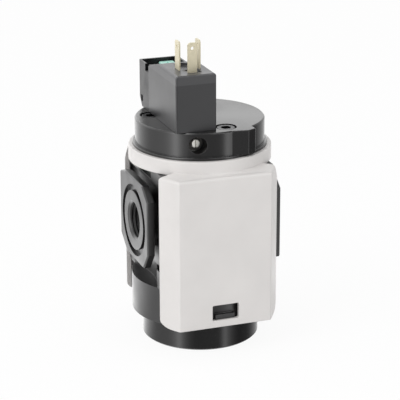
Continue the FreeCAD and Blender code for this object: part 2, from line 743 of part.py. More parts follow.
def cap_lug():
    """The locating lug on the cap's rim: a long ramp on its left, a short end on its right."""
    inner = CAP_RADIUS - LUG_END_FOOT
    ramp_foot = math.sqrt(CAP_RADIUS ** 2 - LUG_RAMP_FOOT ** 2)
    end_foot = math.sqrt(CAP_RADIUS ** 2 - LUG_END_FOOT ** 2)
    plan = [
        (LUG_RAMP_FOOT, inner), (LUG_RAMP_FOOT, ramp_foot), (LUG_FLAT_START, lug_reach),
        (LUG_FLAT_END, lug_reach), (LUG_END_FOOT, end_foot), (LUG_END_FOOT, inner),
    ]
    lug = prism([Vector(t, -r, cap_lip_top) for t, r in plan], Vector(0, 0, cap_top - cap_lip_top))
    corners = [e for e in lug.Edges if upright(e) and e.CenterOfMass.y < SLIP_FIT - lug_reach]
    lug = lug.makeFillet(LUG_CORNER, corners)
    front = [e for e in lug.Edges if at_height(e, cap_top) and e.CenterOfMass.y < -CAP_RADIUS]
    lug = lug.makeChamfer(CAP_EDGE / 2, front)
    lug.rotate(Vector(0, 0, 0), Vector(0, 0, 1), LUG_ANGLE)
    return lug


def pilot_cap():
    """The turned cap: piston bore below, solenoid seat above, adjusting screw in its front."""
    profile = [
        Vector(0, 0, BODY_TOP),
        Vector(cap_spigot_radius, 0, BODY_TOP),
        Vector(cap_spigot_radius, 0, band_top + SLIP_FIT),
        Vector(cap_lip_radius, 0, band_top + SLIP_FIT),
        Vector(cap_lip_radius, 0, cap_lip_top - CAP_EDGE / 2),
        Vector(cap_lip_radius - CAP_EDGE / 2, 0, cap_lip_top),
        Vector(CAP_RADIUS, 0, cap_lip_top),
        Vector(CAP_RADIUS, 0, cap_top - CAP_EDGE),
        Vector(CAP_RADIUS - CAP_EDGE, 0, cap_top),
        Vector(0, 0, cap_top),
    ]
    outline = Part.Face(Part.makePolygon(profile + profile[:1]))
    cap = outline.revolve(Vector(0, 0, 0), Vector(0, 0, 1), 360).fuse(cap_lug())
    mouth = round_y(ADJUSTER_MOUTH_RADIUS, -CAP_RADIUS - 2, adjuster_mouth_floor, ADJUSTER_X, adjuster_z)
    cuts = [
        round_z(piston_bore_radius, BODY_TOP, piston_bore_top),
        mouth,
        round_y(GLAND_RADIUS + RUNNING_FIT, adjuster_mouth_floor, adjuster_gland_rear,
                ADJUSTER_X, adjuster_z),
        round_y(ADJUSTER_CHAMBER_RADIUS, adjuster_gland_rear, adjuster_chamber_end, ADJUSTER_X, adjuster_z),
        round_y(AIR_HOLE_RADIUS, adjuster_chamber_end, OUTLET_AIR_Y, ADJUSTER_X, adjuster_z),
        round_z(AIR_HOLE_RADIUS, adjuster_z, cap_top, COIL_X, OUTLET_AIR_Y),
        round_z(AIR_HOLE_RADIUS, piston_bore_top, adjuster_z, ADJUSTER_X, branch_air_y),
        round_z(AIR_HOLE_RADIUS, BODY_TOP, cap_top, COIL_X + SUPPLY_AIR_OFFSET_X, SUPPLY_AIR_Y),
    ]
    for x, y in cap_screw_places():
        cuts.append(round_z(CLEARANCE_HOLE_RADIUS, BODY_TOP, cap_top, x, y))
        cuts.append(round_z(COUNTERBORE_RADIUS, head_seat_z, cap_top, x, y))
    for x, y in pilot_screw_places():
        cuts.append(round_z(PILOT_SCREW_RADIUS + SLIP_FIT, BODY_TOP, cap_top, x, y))
        cuts.append(round_z(PILOT_SCREW_HEAD_RADIUS + SLIP_FIT, BODY_TOP, pilot_screw_seat, x, y))
    return cap.cut(cuts).removeSplitter()


def hex_key(width, x, y, z0, z1):
    """A six-sided key socket, given its width across flats."""
    corner = width / 2 / math.cos(math.radians(30))
    points = []
    for step in range(6):
        turn = math.radians(60 * step)
        points.append(Vector(x + corner * math.cos(turn), y + corner * math.sin(turn), z0))
    return prism(points, Vector(0, 0, z1 - z0))


def socket_screw(x, y, seat_z, radius, length, head_radius, head_height, key_width, key_depth):
    """A socket-head cap screw standing in its hole, head up."""
    head = round_z(head_radius, seat_z, seat_z + head_height, x, y)
    head = head.makeChamfer(SCREW_HEAD_EDGE, [e for e in head.Edges if at_height(e, seat_z + head_height)])
    shank = round_z(radius, seat_z - length, seat_z, x, y)
    key = hex_key(key_width, x, y, seat_z + head_height - key_depth, seat_z + head_height)
    return head.fuse(shank).cut(key)


def cap_screws():
    """The three socket-head screws that hold the cap on the body."""
    screws = []
    for x, y in cap_screw_places():
        screws.append(socket_screw(
            x, y, head_seat_z, CAP_SCREW_RADIUS, CAP_SCREW_LENGTH, CAP_SCREW_HEAD_RADIUS,
            CAP_SCREW_HEAD_HEIGHT, HEX_KEY_WIDTH, HEX_KEY_DEPTH,
        ))
    return Part.makeCompound(screws)


def poppet():
    """The main poppet: a disc under the seat and a hollow stem that also carries the exhaust."""
    profile = [
        (STEM_BORE_RADIUS, STEM_BOTTOM), (STEM_RADIUS, STEM_BOTTOM),
        (STEM_RADIUS, poppet_disc_bottom), (POPPET_RADIUS, poppet_disc_bottom),
        (POPPET_RADIUS, poppet_disc_top), (STEM_RADIUS, poppet_disc_top),
        (STEM_RADIUS, COLLAR_BOTTOM), (COLLAR_RADIUS, COLLAR_BOTTOM),
        (COLLAR_RADIUS, COLLAR_BOTTOM + COLLAR_HEIGHT), (STEM_RADIUS, COLLAR_BOTTOM + COLLAR_HEIGHT),
        (STEM_RADIUS, stem_top), (STEM_BORE_RADIUS, stem_top),
    ]
    points = [Vector(r, 0, z) for r, z in profile]
    outline = Part.Face(Part.makePolygon(points + points[:1]))
    return outline.revolve(Vector(0, 0, 0), Vector(0, 0, 1), 360)


def poppet_seal():
    """The rubber facing on the poppet disc that closes the seat."""
    inner = STEM_RADIUS + RUNNING_FIT
    return groove(Vector(0, 0, poppet_disc_top), Vector(0, 0, 1), inner, POPPET_SEAL_RADIUS,
                  POPPET_SEAL_HEIGHT)


def poppet_spring():
    """The spring that holds the poppet against its seat."""
    return coil_spring(POPPET_SPRING_MEAN, POPPET_SPRING_WIRE, POPPET_SPRING_TURNS,
                       spigot_top, poppet_disc_bottom)


def actuator_piston():
    """The piston that pilot air pushes down on to the stem."""
    ring_z = piston_bottom + PISTON_HEIGHT / 2
    crown = round_z(piston_bore_radius - RUNNING_FIT, piston_bottom, piston_bottom + PISTON_HEIGHT)
    bump = round_z(PISTON_BUMP_RADIUS, piston_bottom + PISTON_HEIGHT, piston_bore_top)
    rod = round_z(PISTON_ROD_RADIUS, nose_bottom + NOSE_SEAL_HEIGHT, piston_bottom)
    ring = ring_groove(
        Vector(0, 0, ring_z), Vector(0, 0, 1),
        piston_bore_radius - RUNNING_FIT - PISTON_RING_CORD, piston_bore_radius + 1, PISTON_RING_CORD,
    )
    return crown.fuse([bump, rod]).cut(ring).removeSplitter()


def piston_o_ring():
    """The ring that seals the piston in its bore."""
    mean = piston_bore_radius - RUNNING_FIT - PISTON_RING_CORD / 2
    return o_ring(Vector(0, 0, piston_bottom + PISTON_HEIGHT / 2), Vector(0, 0, 1), mean, PISTON_RING_CORD)


def nose_seal():
    """The rubber disc on the piston rod that closes the top of the hollow stem."""
    return round_z(NOSE_RADIUS, nose_bottom, nose_bottom + NOSE_SEAL_HEIGHT)


def piston_spring():
    """The spring between stem collar and piston that opens the exhaust."""
    return coil_spring(PISTON_SPRING_MEAN, PISTON_SPRING_WIRE, PISTON_SPRING_TURNS,
                       COLLAR_BOTTOM + COLLAR_HEIGHT, piston_bottom)


def coil_housing():
    """The moulded coil block, open to the rear, its top falling off behind the connector face."""
    profile = [
        (COIL_FRONT, cap_top), (COIL_REAR, cap_top), (COIL_REAR, coil_top),
        (PLATFORM_REAR, platform_top), (COIL_FRONT, platform_top),
    ]
    housing = prism([Vector(coil_left, y, z) for y, z in profile], Vector(COIL_WIDTH, 0, 0))
    long_edges = [e for e in housing.Edges
                  if at_height(e, platform_top) and abs(e.CenterOfMass.x - COIL_X) > SAME]
    housing = housing.makeFillet(PLATFORM_ROUND, long_edges)
    corners = [e for e in housing.Edges if upright(e) and e.CenterOfMass.y < COIL_FRONT + SAME]
    housing = housing.makeFillet(COIL_CORNER, corners)
    cavity = block(
        coil_left + POTTING_WALL_X, coil_right - POTTING_WALL_X, COIL_FRONT + FRONT_WALL, COIL_REAR,
        cap_top + POTTING_WALL_Z, coil_top - POTTING_WALL_Z,
    )
    cuts = [cavity, connector_well()]
    for x in power_blade_places():
        cuts.append(blade_socket(x, POWER_BLADE_Y, BLADE_WIDTH, False))
    cuts.append(blade_socket(BLADE_X, EARTH_BLADE_Y, EARTH_BLADE_WIDTH, True))
    cuts.append(round_z(INSERT_RADIUS + RUNNING_FIT, insert_bottom, platform_top, BLADE_X, INSERT_Y))
    return housing.cut(cuts)


def connector_well():
    """The sunken middle of the connector face, rounded at its rear end."""
    z = platform_top - WELL_DEPTH
    turn_y = WELL_REAR - WELL_HALF_X
    straight = block(BLADE_X - WELL_HALF_X, BLADE_X + WELL_HALF_X, WELL_FRONT, turn_y, z, platform_top)
    return straight.fuse(round_z(WELL_HALF_X, z, platform_top, BLADE_X, turn_y))


def power_blade_places():
    """The two power blades' places across the coil."""
    return (BLADE_X - BLADE_SPACING / 2, BLADE_X + BLADE_SPACING / 2)


def blade_socket(x, y, width, across):
    """The slot in the connector face that a blade is moulded into."""
    half_w = width / 2 + RUNNING_FIT
    half_t = BLADE_THICKNESS / 2 + RUNNING_FIT
    z = platform_top - BLADE_ROOT
    if across:
        return block(x - half_w, x + half_w, y - half_t, y + half_t, z, platform_top)
    return block(x - half_t, x + half_t, y - half_w, y + half_w, z, platform_top)


def blade(x, y, width, across):
    """A flat tab with a chamfered tip and a small round hole near it."""
    half = width / 2
    tip = platform_top + BLADE_RISE
    root = platform_top - BLADE_ROOT
    c = BLADE_TIP_CHAMFER
    outline = [
        (-half, root), (half, root), (half, tip - c), (half - c, tip), (c - half, tip), (-half, tip - c),
    ]
    points = [Vector(x + u, y - BLADE_THICKNESS / 2, z) for u, z in outline]
    hole = round_y(BLADE_HOLE_RADIUS, y - BLADE_THICKNESS, y + BLADE_THICKNESS, x, tip - BLADE_HOLE_DROP)
    flat = prism(points, Vector(0, BLADE_THICKNESS, 0)).cut(hole)
    if not across:
        flat.rotate(Vector(x, y, 0), Vector(0, 0, 1), 90)
    return flat


def power_blades():
    """The two power contacts."""
    return Part.makeCompound([blade(x, POWER_BLADE_Y, BLADE_WIDTH, False) for x in power_blade_places()])


def earth_blade():
    """The earth contact, turned a quarter against the other two."""
    return blade(BLADE_X, EARTH_BLADE_Y, EARTH_BLADE_WIDTH, True)


def connector_insert():
    """The threaded brass insert for the plug connector's screw, level with the well's floor."""
    return groove(Vector(BLADE_X, INSERT_Y, insert_bottom), Vector(0, 0, 1), INSERT_BORE_RADIUS,
                  INSERT_RADIUS, INSERT_LENGTH)


def coil_yoke():
    """The steel frame that carries the magnet's field round the winding."""
    z0 = cap_top + POTTING_WALL_Z + SLIP_FIT
    z1 = coil_top - POTTING_WALL_Z - SLIP_FIT
    x0 = COIL_X - YOKE_WIDTH / 2
    x1 = COIL_X + YOKE_WIDTH / 2
    t = YOKE_THICKNESS
    outside = block(x0, x1, yoke_front + SLIP_FIT, COIL_REAR, z0, z1)
    inside = block(x0, x1, yoke_front + SLIP_FIT + t, COIL_REAR - t, z0 + t, z1 - t)
    hole = round_y(TUBE_RADIUS + TUBE_CLEARANCE, COIL_REAR - t - 1, COIL_REAR, COIL_X, coil_z)
    return outside.cut([inside, hole])


def coil_bobbin():
    """The plastic reel that the wire is wound on."""
    front = yoke_front + YOKE_THICKNESS + SLIP_FIT * 2
    rear = COIL_REAR - YOKE_THICKNESS - SLIP_FIT
    inner = TUBE_RADIUS + TUBE_CLEARANCE
    along = Vector(0, 1, 0)
    reel = groove(Vector(COIL_X, front, coil_z), along, inner, inner + BOBBIN_WALL, rear - front)
    cheeks = [
        groove(Vector(COIL_X, y, coil_z), along, inner, BOBBIN_RADIUS, BOBBIN_FLANGE)
        for y in (front, rear - BOBBIN_FLANGE)
    ]
    return reel.fuse(cheeks).removeSplitter()


def coil_winding():
    """The copper winding between the reel's cheeks."""
    front = yoke_front + YOKE_THICKNESS + SLIP_FIT * 3 + BOBBIN_FLANGE
    rear = COIL_REAR - YOKE_THICKNESS - SLIP_FIT * 2 - BOBBIN_FLANGE
    inner = TUBE_RADIUS + TUBE_CLEARANCE + BOBBIN_WALL + RUNNING_FIT
    return groove(Vector(COIL_X, front, coil_z), Vector(0, 1, 0), inner, WINDING_RADIUS, rear - front)


def armature_tube():
    """The thin tube that the plunger slides in, flanged where the pilot valve clamps it."""
    inner = TUBE_RADIUS - TUBE_WALL
    tube = round_y(TUBE_RADIUS, core_front, tube_rear, COIL_X, coil_z)
    flange = round_y(TUBE_FLANGE_RADIUS, COIL_REAR, tube_rear, COIL_X, coil_z)
    return tube.fuse(flange).cut(round_y(inner, core_front, tube_rear, COIL_X, coil_z)).removeSplitter()


def fixed_core():
    """The iron stop fixed in the front of the tube."""
    radius = TUBE_RADIUS - TUBE_WALL - RUNNING_FIT / 2
    return round_y(radius, core_front, core_front + CORE_LENGTH, COIL_X, coil_z)


def plunger():
    """The iron plunger that the coil pulls towards the fixed core."""
    radius = TUBE_RADIUS - TUBE_WALL - RUNNING_FIT
    rod = round_y(radius, plunger_front, plunger_rear, COIL_X, coil_z)
    seal_pocket = round_y(PLUNGER_SEAL_RADIUS + RUNNING_FIT,
                          plunger_rear - PLUNGER_SEAL_LENGTH + PLUNGER_SEAL_PROUD, plunger_rear,
                          COIL_X, coil_z)
    spring_pocket = round_y(PLUNGER_POCKET_RADIUS, plunger_front, plunger_front + PLUNGER_POCKET_DEPTH,
                            COIL_X, coil_z)
    return rod.cut([seal_pocket, spring_pocket])


def plunger_seal():
    """The rubber disc in the plunger's end that closes the nozzle."""
    front = plunger_rear - PLUNGER_SEAL_LENGTH + PLUNGER_SEAL_PROUD
    return round_y(PLUNGER_SEAL_RADIUS, front, nozzle_tip, COIL_X, coil_z)


def plunger_spring():
    """The spring in the plunger's pocket, at the length it has when the plunger is pulled in."""
    spring = coil_spring(PLUNGER_SPRING_MEAN, PLUNGER_SPRING_WIRE, PLUNGER_SPRING_TURNS,
                         0, PLUNGER_POCKET_DEPTH)
    spring.rotate(Vector(0, 0, 0), Vector(1, 0, 0), -90)
    spring.translate(Vector(COIL_X, plunger_front, coil_z))
    return spring


def pilot_nozzle():
    """The brass nozzle that the plunger closes."""
    base = round_y(PILOT_CHAMBER_RADIUS - RUNNING_FIT, nozzle_front, chamber_rear, COIL_X, coil_z)
    tip = round_y(NOZZLE_TIP_RADIUS, nozzle_tip, nozzle_front, COIL_X, coil_z)
    orifice = round_y(NOZZLE_ORIFICE_RADIUS, nozzle_tip, chamber_rear, COIL_X, coil_z)
    return base.fuse(tip).cut(orifice).removeSplitter()


def pilot_screw_places():
    """The middles of the two screws that hold the pilot valve on the cap.

    They stand level, as far back as the cap's rim allows for the screw further from the middle.
    """
    far_x = COIL_X - PILOT_SCREW_HALF_SPACING
    reach = CAP_RADIUS - PILOT_SCREW_EDGE - PILOT_SCREW_HEAD_RADIUS
    y = math.sqrt(reach ** 2 - far_x ** 2)
    return [(far_x, y), (COIL_X + PILOT_SCREW_HALF_SPACING, y)]


def pilot_valve_body():
    """The moulded pilot valve: nozzle chamber inside, open pocket on top, cut lower rear corner."""
    profile = [
        (COIL_REAR, cap_top), (PILOT_REAR - PILOT_CUT_Y, cap_top), (PILOT_REAR, cap_top + PILOT_CUT_Z),
        (PILOT_REAR, coil_top), (COIL_REAR, coil_top),
    ]
    points = [Vector(coil_left, y, z) for y, z in profile]
    body = prism(points, Vector(COIL_WIDTH, 0, 0))
    corners = [e for e in body.Edges if upright(e) and e.CenterOfMass.y > PILOT_REAR - SAME]
    body = body.makeFillet(COIL_CORNER, corners)
    wall = PILOT_POCKET_WALL
    supply_x = COIL_X + SUPPLY_AIR_OFFSET_X
    cuts = [
        block(coil_left + wall, coil_right - wall, PILOT_POCKET_FRONT, PILOT_REAR - wall,
              pilot_floor, coil_top),
        round_y(TUBE_FLANGE_RADIUS + SLIP_FIT, COIL_REAR, tube_rear, COIL_X, coil_z),
        round_y(PILOT_CHAMBER_RADIUS, tube_rear, chamber_rear, COIL_X, coil_z),
        round_y(AIR_HOLE_RADIUS, chamber_rear, SUPPLY_AIR_Y, COIL_X, coil_z),
        round_z(AIR_HOLE_RADIUS, cap_top, coil_z, supply_x, SUPPLY_AIR_Y),
        round_z(AIR_HOLE_RADIUS, cap_top, coil_z, COIL_X, OUTLET_AIR_Y),
        round_z(OVERRIDE_STEM_RADIUS + RUNNING_FIT, override_stem_end - OVERRIDE_STROKE - SLIP_FIT,
                pilot_floor, OVERRIDE_X, OVERRIDE_Y),
        round_z(OVERRIDE_SPRING_POCKET_RADIUS, override_spring_floor, pilot_floor,
                OVERRIDE_X, OVERRIDE_Y),
        block(coil_left, coil_left + wall, COIL_REAR, PILOT_NOTCH_REAR,
              coil_top - PILOT_NOTCH_DEPTH, coil_top),
        block(COIL_X - GASKET_HALF_X - SLIP_FIT, COIL_X + GASKET_HALF_X + SLIP_FIT,
              GASKET_FRONT - SLIP_FIT, GASKET_REAR + SLIP_FIT, cap_top, cap_top + GASKET_THICKNESS),
        block(coil_left, coil_left + SIDE_SLOT_DEPTH, SIDE_SLOT_Y, SIDE_SLOT_Y + SIDE_SLOT_LENGTH,
              cap_top + SIDE_SLOT_RISE, cap_top + SIDE_SLOT_RISE + SIDE_SLOT_HEIGHT),
    ]
    for x, y in pilot_screw_places():
        cuts.append(round_z(PILOT_SCREW_RADIUS + RUNNING_FIT, cap_top,
                            cap_top + PILOT_SCREW_ENGAGEMENT + 1, x, y))
    return body.cut(cuts)


def pilot_screws():
    """The two screws that hold the pilot valve, put in from under the cap with their heads down."""
    length = PILOT_SCREW_SEAT_DEPTH + PILOT_SCREW_ENGAGEMENT
    screws = []
    for x, y in pilot_screw_places():
        screw = socket_screw(
            x, y, pilot_screw_seat, PILOT_SCREW_RADIUS, length, PILOT_SCREW_HEAD_RADIUS,
            PILOT_SCREW_HEAD_HEIGHT, PILOT_SCREW_KEY_WIDTH, PILOT_SCREW_KEY_DEPTH,
        )
        screw.rotate(Vector(x, y, pilot_screw_seat), Vector(1, 0, 0), 180)
        screws.append(screw)
    return Part.makeCompound(screws)


def pilot_gasket():
    """The flat rubber gasket round the two air holes under the pilot valve."""
    plate = block(COIL_X - GASKET_HALF_X, COIL_X + GASKET_HALF_X, GASKET_FRONT, GASKET_REAR,
                  cap_top, cap_top + GASKET_THICKNESS)
    holes = [
        round_z(AIR_HOLE_RADIUS + SLIP_FIT, cap_top, cap_top + 1, COIL_X, OUTLET_AIR_Y),
        round_z(AIR_HOLE_RADIUS + SLIP_FIT, cap_top, cap_top + 1, COIL_X + SUPPLY_AIR_OFFSET_X, SUPPLY_AIR_Y),
    ]
    return plate.cut(holes)


def override_button():
    """The rectangular push button of the manual override, with a round stem below."""
    half_x = OVERRIDE_WIDTH / 2
    half_y = OVERRIDE_LENGTH / 2
    head = block(OVERRIDE_X - half_x, OVERRIDE_X + half_x, OVERRIDE_Y - half_y, OVERRIDE_Y + half_y,
                 override_bottom, override_top)
    head = head.makeFillet(OVERRIDE_CORNER, [e for e in head.Edges if upright(e)])
    head = head.makeChamfer(OVERRIDE_EDGE, [e for e in head.Edges if at_height(e, override_top)])
    stem = round_z(OVERRIDE_STEM_RADIUS, override_stem_end, override_bottom, OVERRIDE_X, OVERRIDE_Y)
    ring = ring_groove(
        Vector(OVERRIDE_X, OVERRIDE_Y, override_ring_z), Vector(0, 0, 1),
        OVERRIDE_STEM_RADIUS - OVERRIDE_RING_CORD, OVERRIDE_STEM_RADIUS + 1, OVERRIDE_RING_CORD,
    )
    slot = block(OVERRIDE_X - OVERRIDE_SLOT_WIDTH / 2, OVERRIDE_X + OVERRIDE_SLOT_WIDTH / 2,
                 OVERRIDE_Y - OVERRIDE_SLOT_LENGTH / 2, OVERRIDE_Y + OVERRIDE_SLOT_LENGTH / 2,
                 override_top - OVERRIDE_SLOT_DEPTH, override_top)
    return head.fuse(stem).cut([ring, slot]).removeSplitter()


def override_o_ring():
    """The small ring that seals the override's stem."""
    mean = OVERRIDE_STEM_RADIUS - OVERRIDE_RING_CORD / 2
    return o_ring(Vector(OVERRIDE_X, OVERRIDE_Y, override_ring_z), Vector(0, 0, 1), mean, OVERRIDE_RING_CORD)


def override_spring():
    """The spring that lifts the override button."""
    spring = coil_spring(OVERRIDE_SPRING_MEAN, OVERRIDE_SPRING_WIRE, OVERRIDE_SPRING_TURNS,
                         override_spring_floor, override_bottom)
    spring.translate(Vector(OVERRIDE_X, OVERRIDE_Y, 0))
    return spring


def adjuster_gland():
    """The threaded brass sleeve that the adjusting screw turns in."""
    sleeve = round_y(GLAND_RADIUS, adjuster_mouth_floor, adjuster_gland_rear, ADJUSTER_X, adjuster_z)
    bore = round_y(ADJUSTER_RADIUS + RUNNING_FIT, adjuster_mouth_floor, adjuster_gland_rear,
                   ADJUSTER_X, adjuster_z)
    return sleeve.cut(bore)


def adjuster_screw():
    """The slotted needle screw that sets how fast the pressure builds up."""
    shank_end = adjuster_head_y + ADJUSTER_SHANK_LENGTH
    shank = round_y(ADJUSTER_RADIUS, adjuster_head_y, shank_end, ADJUSTER_X, adjuster_z)
    needle = Part.makeCone(
        ADJUSTER_NEEDLE_RADIUS, ADJUSTER_NEEDLE_TIP, ADJUSTER_NEEDLE_LENGTH,
        Vector(ADJUSTER_X, shank_end, adjuster_z), Vector(0, 1, 0),
    )
    ring = ring_groove(
        Vector(ADJUSTER_X, adjuster_ring_y, adjuster_z), Vector(0, 1, 0),
        ADJUSTER_CHAMBER_RADIUS - RUNNING_FIT - ADJUSTER_RING_CORD, ADJUSTER_RADIUS + 1, ADJUSTER_RING_CORD,
    )
    slot = block(ADJUSTER_X - ADJUSTER_SLOT_WIDTH / 2, ADJUSTER_X + ADJUSTER_SLOT_WIDTH / 2,
                 adjuster_head_y, adjuster_head_y + ADJUSTER_SLOT_DEPTH,
                 adjuster_z - ADJUSTER_RADIUS, adjuster_z + ADJUSTER_RADIUS)
    return shank.fuse(needle).cut([ring, slot]).removeSplitter()


def adjuster_o_ring():
    """The ring on the adjusting screw that keeps the air in."""
    mean = ADJUSTER_CHAMBER_RADIUS - RUNNING_FIT - ADJUSTER_RING_CORD / 2
    return o_ring(Vector(ADJUSTER_X, adjuster_ring_y, adjuster_z), Vector(0, 1, 0), mean, ADJUSTER_RING_CORD)


os.makedirs("parts", exist_ok=True)
save("bottom_plug", bottom_plug())
save("bottom_plug_o_ring", plug_o_ring())
save("stem_o_ring", stem_o_ring())
save("valve_body", valve_body())
save("main_poppet", poppet())
save("poppet_seal", poppet_seal())
save("poppet_spring", poppet_spring())
save("actuator_piston", actuator_piston())
save("piston_o_ring", piston_o_ring())
save("piston_nose_seal", nose_seal())
save("piston_spring", piston_spring())
save("cap_o_ring", cap_o_ring())
save("pilot_cap", pilot_cap())
save("cap_screws", cap_screws())
save("front_cover", front_cover())
save("rear_cover", rear_cover())
save("adjuster_gland", adjuster_gland())
save("adjuster_screw", adjuster_screw())
save("adjuster_o_ring", adjuster_o_ring())
save("coil_housing", coil_housing())
save("coil_yoke", coil_yoke())
save("coil_bobbin", coil_bobbin())
save("coil_winding", coil_winding())
save("armature_tube", armature_tube())
save("fixed_core", fixed_core())
save("plunger", plunger())
save("plunger_seal", plunger_seal())
save("plunger_spring", plunger_spring())
save("power_blades", power_blades())
save("earth_blade", earth_blade())
save("connector_insert", connector_insert())
save("pilot_valve_body", pilot_valve_body())
save("pilot_nozzle", pilot_nozzle())
save("pilot_screws", pilot_screws())
save("pilot_gasket", pilot_gasket())
save("override_button", override_button())
save("override_o_ring", override_o_ring())
save("override_spring", override_spring())
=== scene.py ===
import json
import math

import bmesh
import bpy
import numpy as np
from mathutils import Matrix, Vector


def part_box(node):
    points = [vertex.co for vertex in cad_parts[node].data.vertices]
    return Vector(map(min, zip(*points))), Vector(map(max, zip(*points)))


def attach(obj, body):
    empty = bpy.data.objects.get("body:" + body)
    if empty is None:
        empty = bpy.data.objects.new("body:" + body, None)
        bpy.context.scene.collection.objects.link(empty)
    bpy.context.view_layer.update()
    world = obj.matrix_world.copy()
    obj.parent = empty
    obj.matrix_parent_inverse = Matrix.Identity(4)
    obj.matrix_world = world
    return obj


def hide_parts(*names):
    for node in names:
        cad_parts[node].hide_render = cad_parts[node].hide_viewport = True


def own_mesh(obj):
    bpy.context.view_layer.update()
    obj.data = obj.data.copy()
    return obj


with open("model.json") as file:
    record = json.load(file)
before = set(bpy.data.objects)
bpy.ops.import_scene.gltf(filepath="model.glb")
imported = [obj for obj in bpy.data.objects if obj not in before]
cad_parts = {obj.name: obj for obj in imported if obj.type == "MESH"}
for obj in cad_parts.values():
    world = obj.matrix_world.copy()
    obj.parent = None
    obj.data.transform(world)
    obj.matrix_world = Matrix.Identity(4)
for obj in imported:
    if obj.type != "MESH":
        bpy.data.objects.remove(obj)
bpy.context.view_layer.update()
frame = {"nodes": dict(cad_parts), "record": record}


# Foot. A thick disc turned from aluminium bar and hard anodised black, with the threaded exhaust
# port in its middle. It screws up into the body. Turning leaves fine rings, and these draw the
# light of a lamp out into upright streaks on its side.
mm = 0.001


def linear(code):
    """Linear colour of an sRGB hex code: each channel's sRGB curve is undone."""
    channels = [int(code[i:i + 2], 16) / 255 for i in (1, 3, 5)]
    return [c / 12.92 if c <= 0.04045 else ((c + 0.055) / 1.055) ** 2.4 for c in channels] + [1.0]


def add(tree, kind, settings, wires):
    """Adds a node. Settings go to its inputs or attributes, wires feed its inputs."""
    node = tree.nodes.new(kind)
    for key, value in settings.items():
        if isinstance(key, int) or key in node.inputs:
            node.inputs[key].default_value = value
        else:
            setattr(node, key, value)
    for key, source in wires.items():
        tree.links.new(source, node.inputs[key])
    return node


def turning_marks(tree, place, normal, spacing):
    """The bumped normal of a turned piece, with marks that ring its side and its faces.

    The bump is the sine of height plus radius, one wave per spacing, which is in mm. Real marks
    are several times closer together, too fine to show in the render.
    """
    mark_height = 0.001 * mm
    split = add(tree, "ShaderNodeSeparateXYZ", {}, {0: place})
    level = add(tree, "ShaderNodeVectorMath", {"operation": "MULTIPLY", 1: (1, 1, 0)}, {0: place})
    radius = add(tree, "ShaderNodeVectorMath", {"operation": "LENGTH"}, {0: level.outputs["Vector"]})
    path = add(tree, "ShaderNodeMath", {"operation": "ADD"},
               {0: split.outputs["Z"], 1: radius.outputs["Value"]})
    phase = add(tree, "ShaderNodeMath", {"operation": "MULTIPLY", 1: 2 * math.pi / (spacing * mm)},
                {0: path.outputs["Value"]})
    marks = add(tree, "ShaderNodeMath", {"operation": "SINE"}, {0: phase.outputs["Value"]})
    bump = add(tree, "ShaderNodeBump", {"Distance": mark_height, "Strength": 1.0},
               {"Height": marks.outputs["Value"], "Normal": normal})
    return bump.outputs["Normal"]


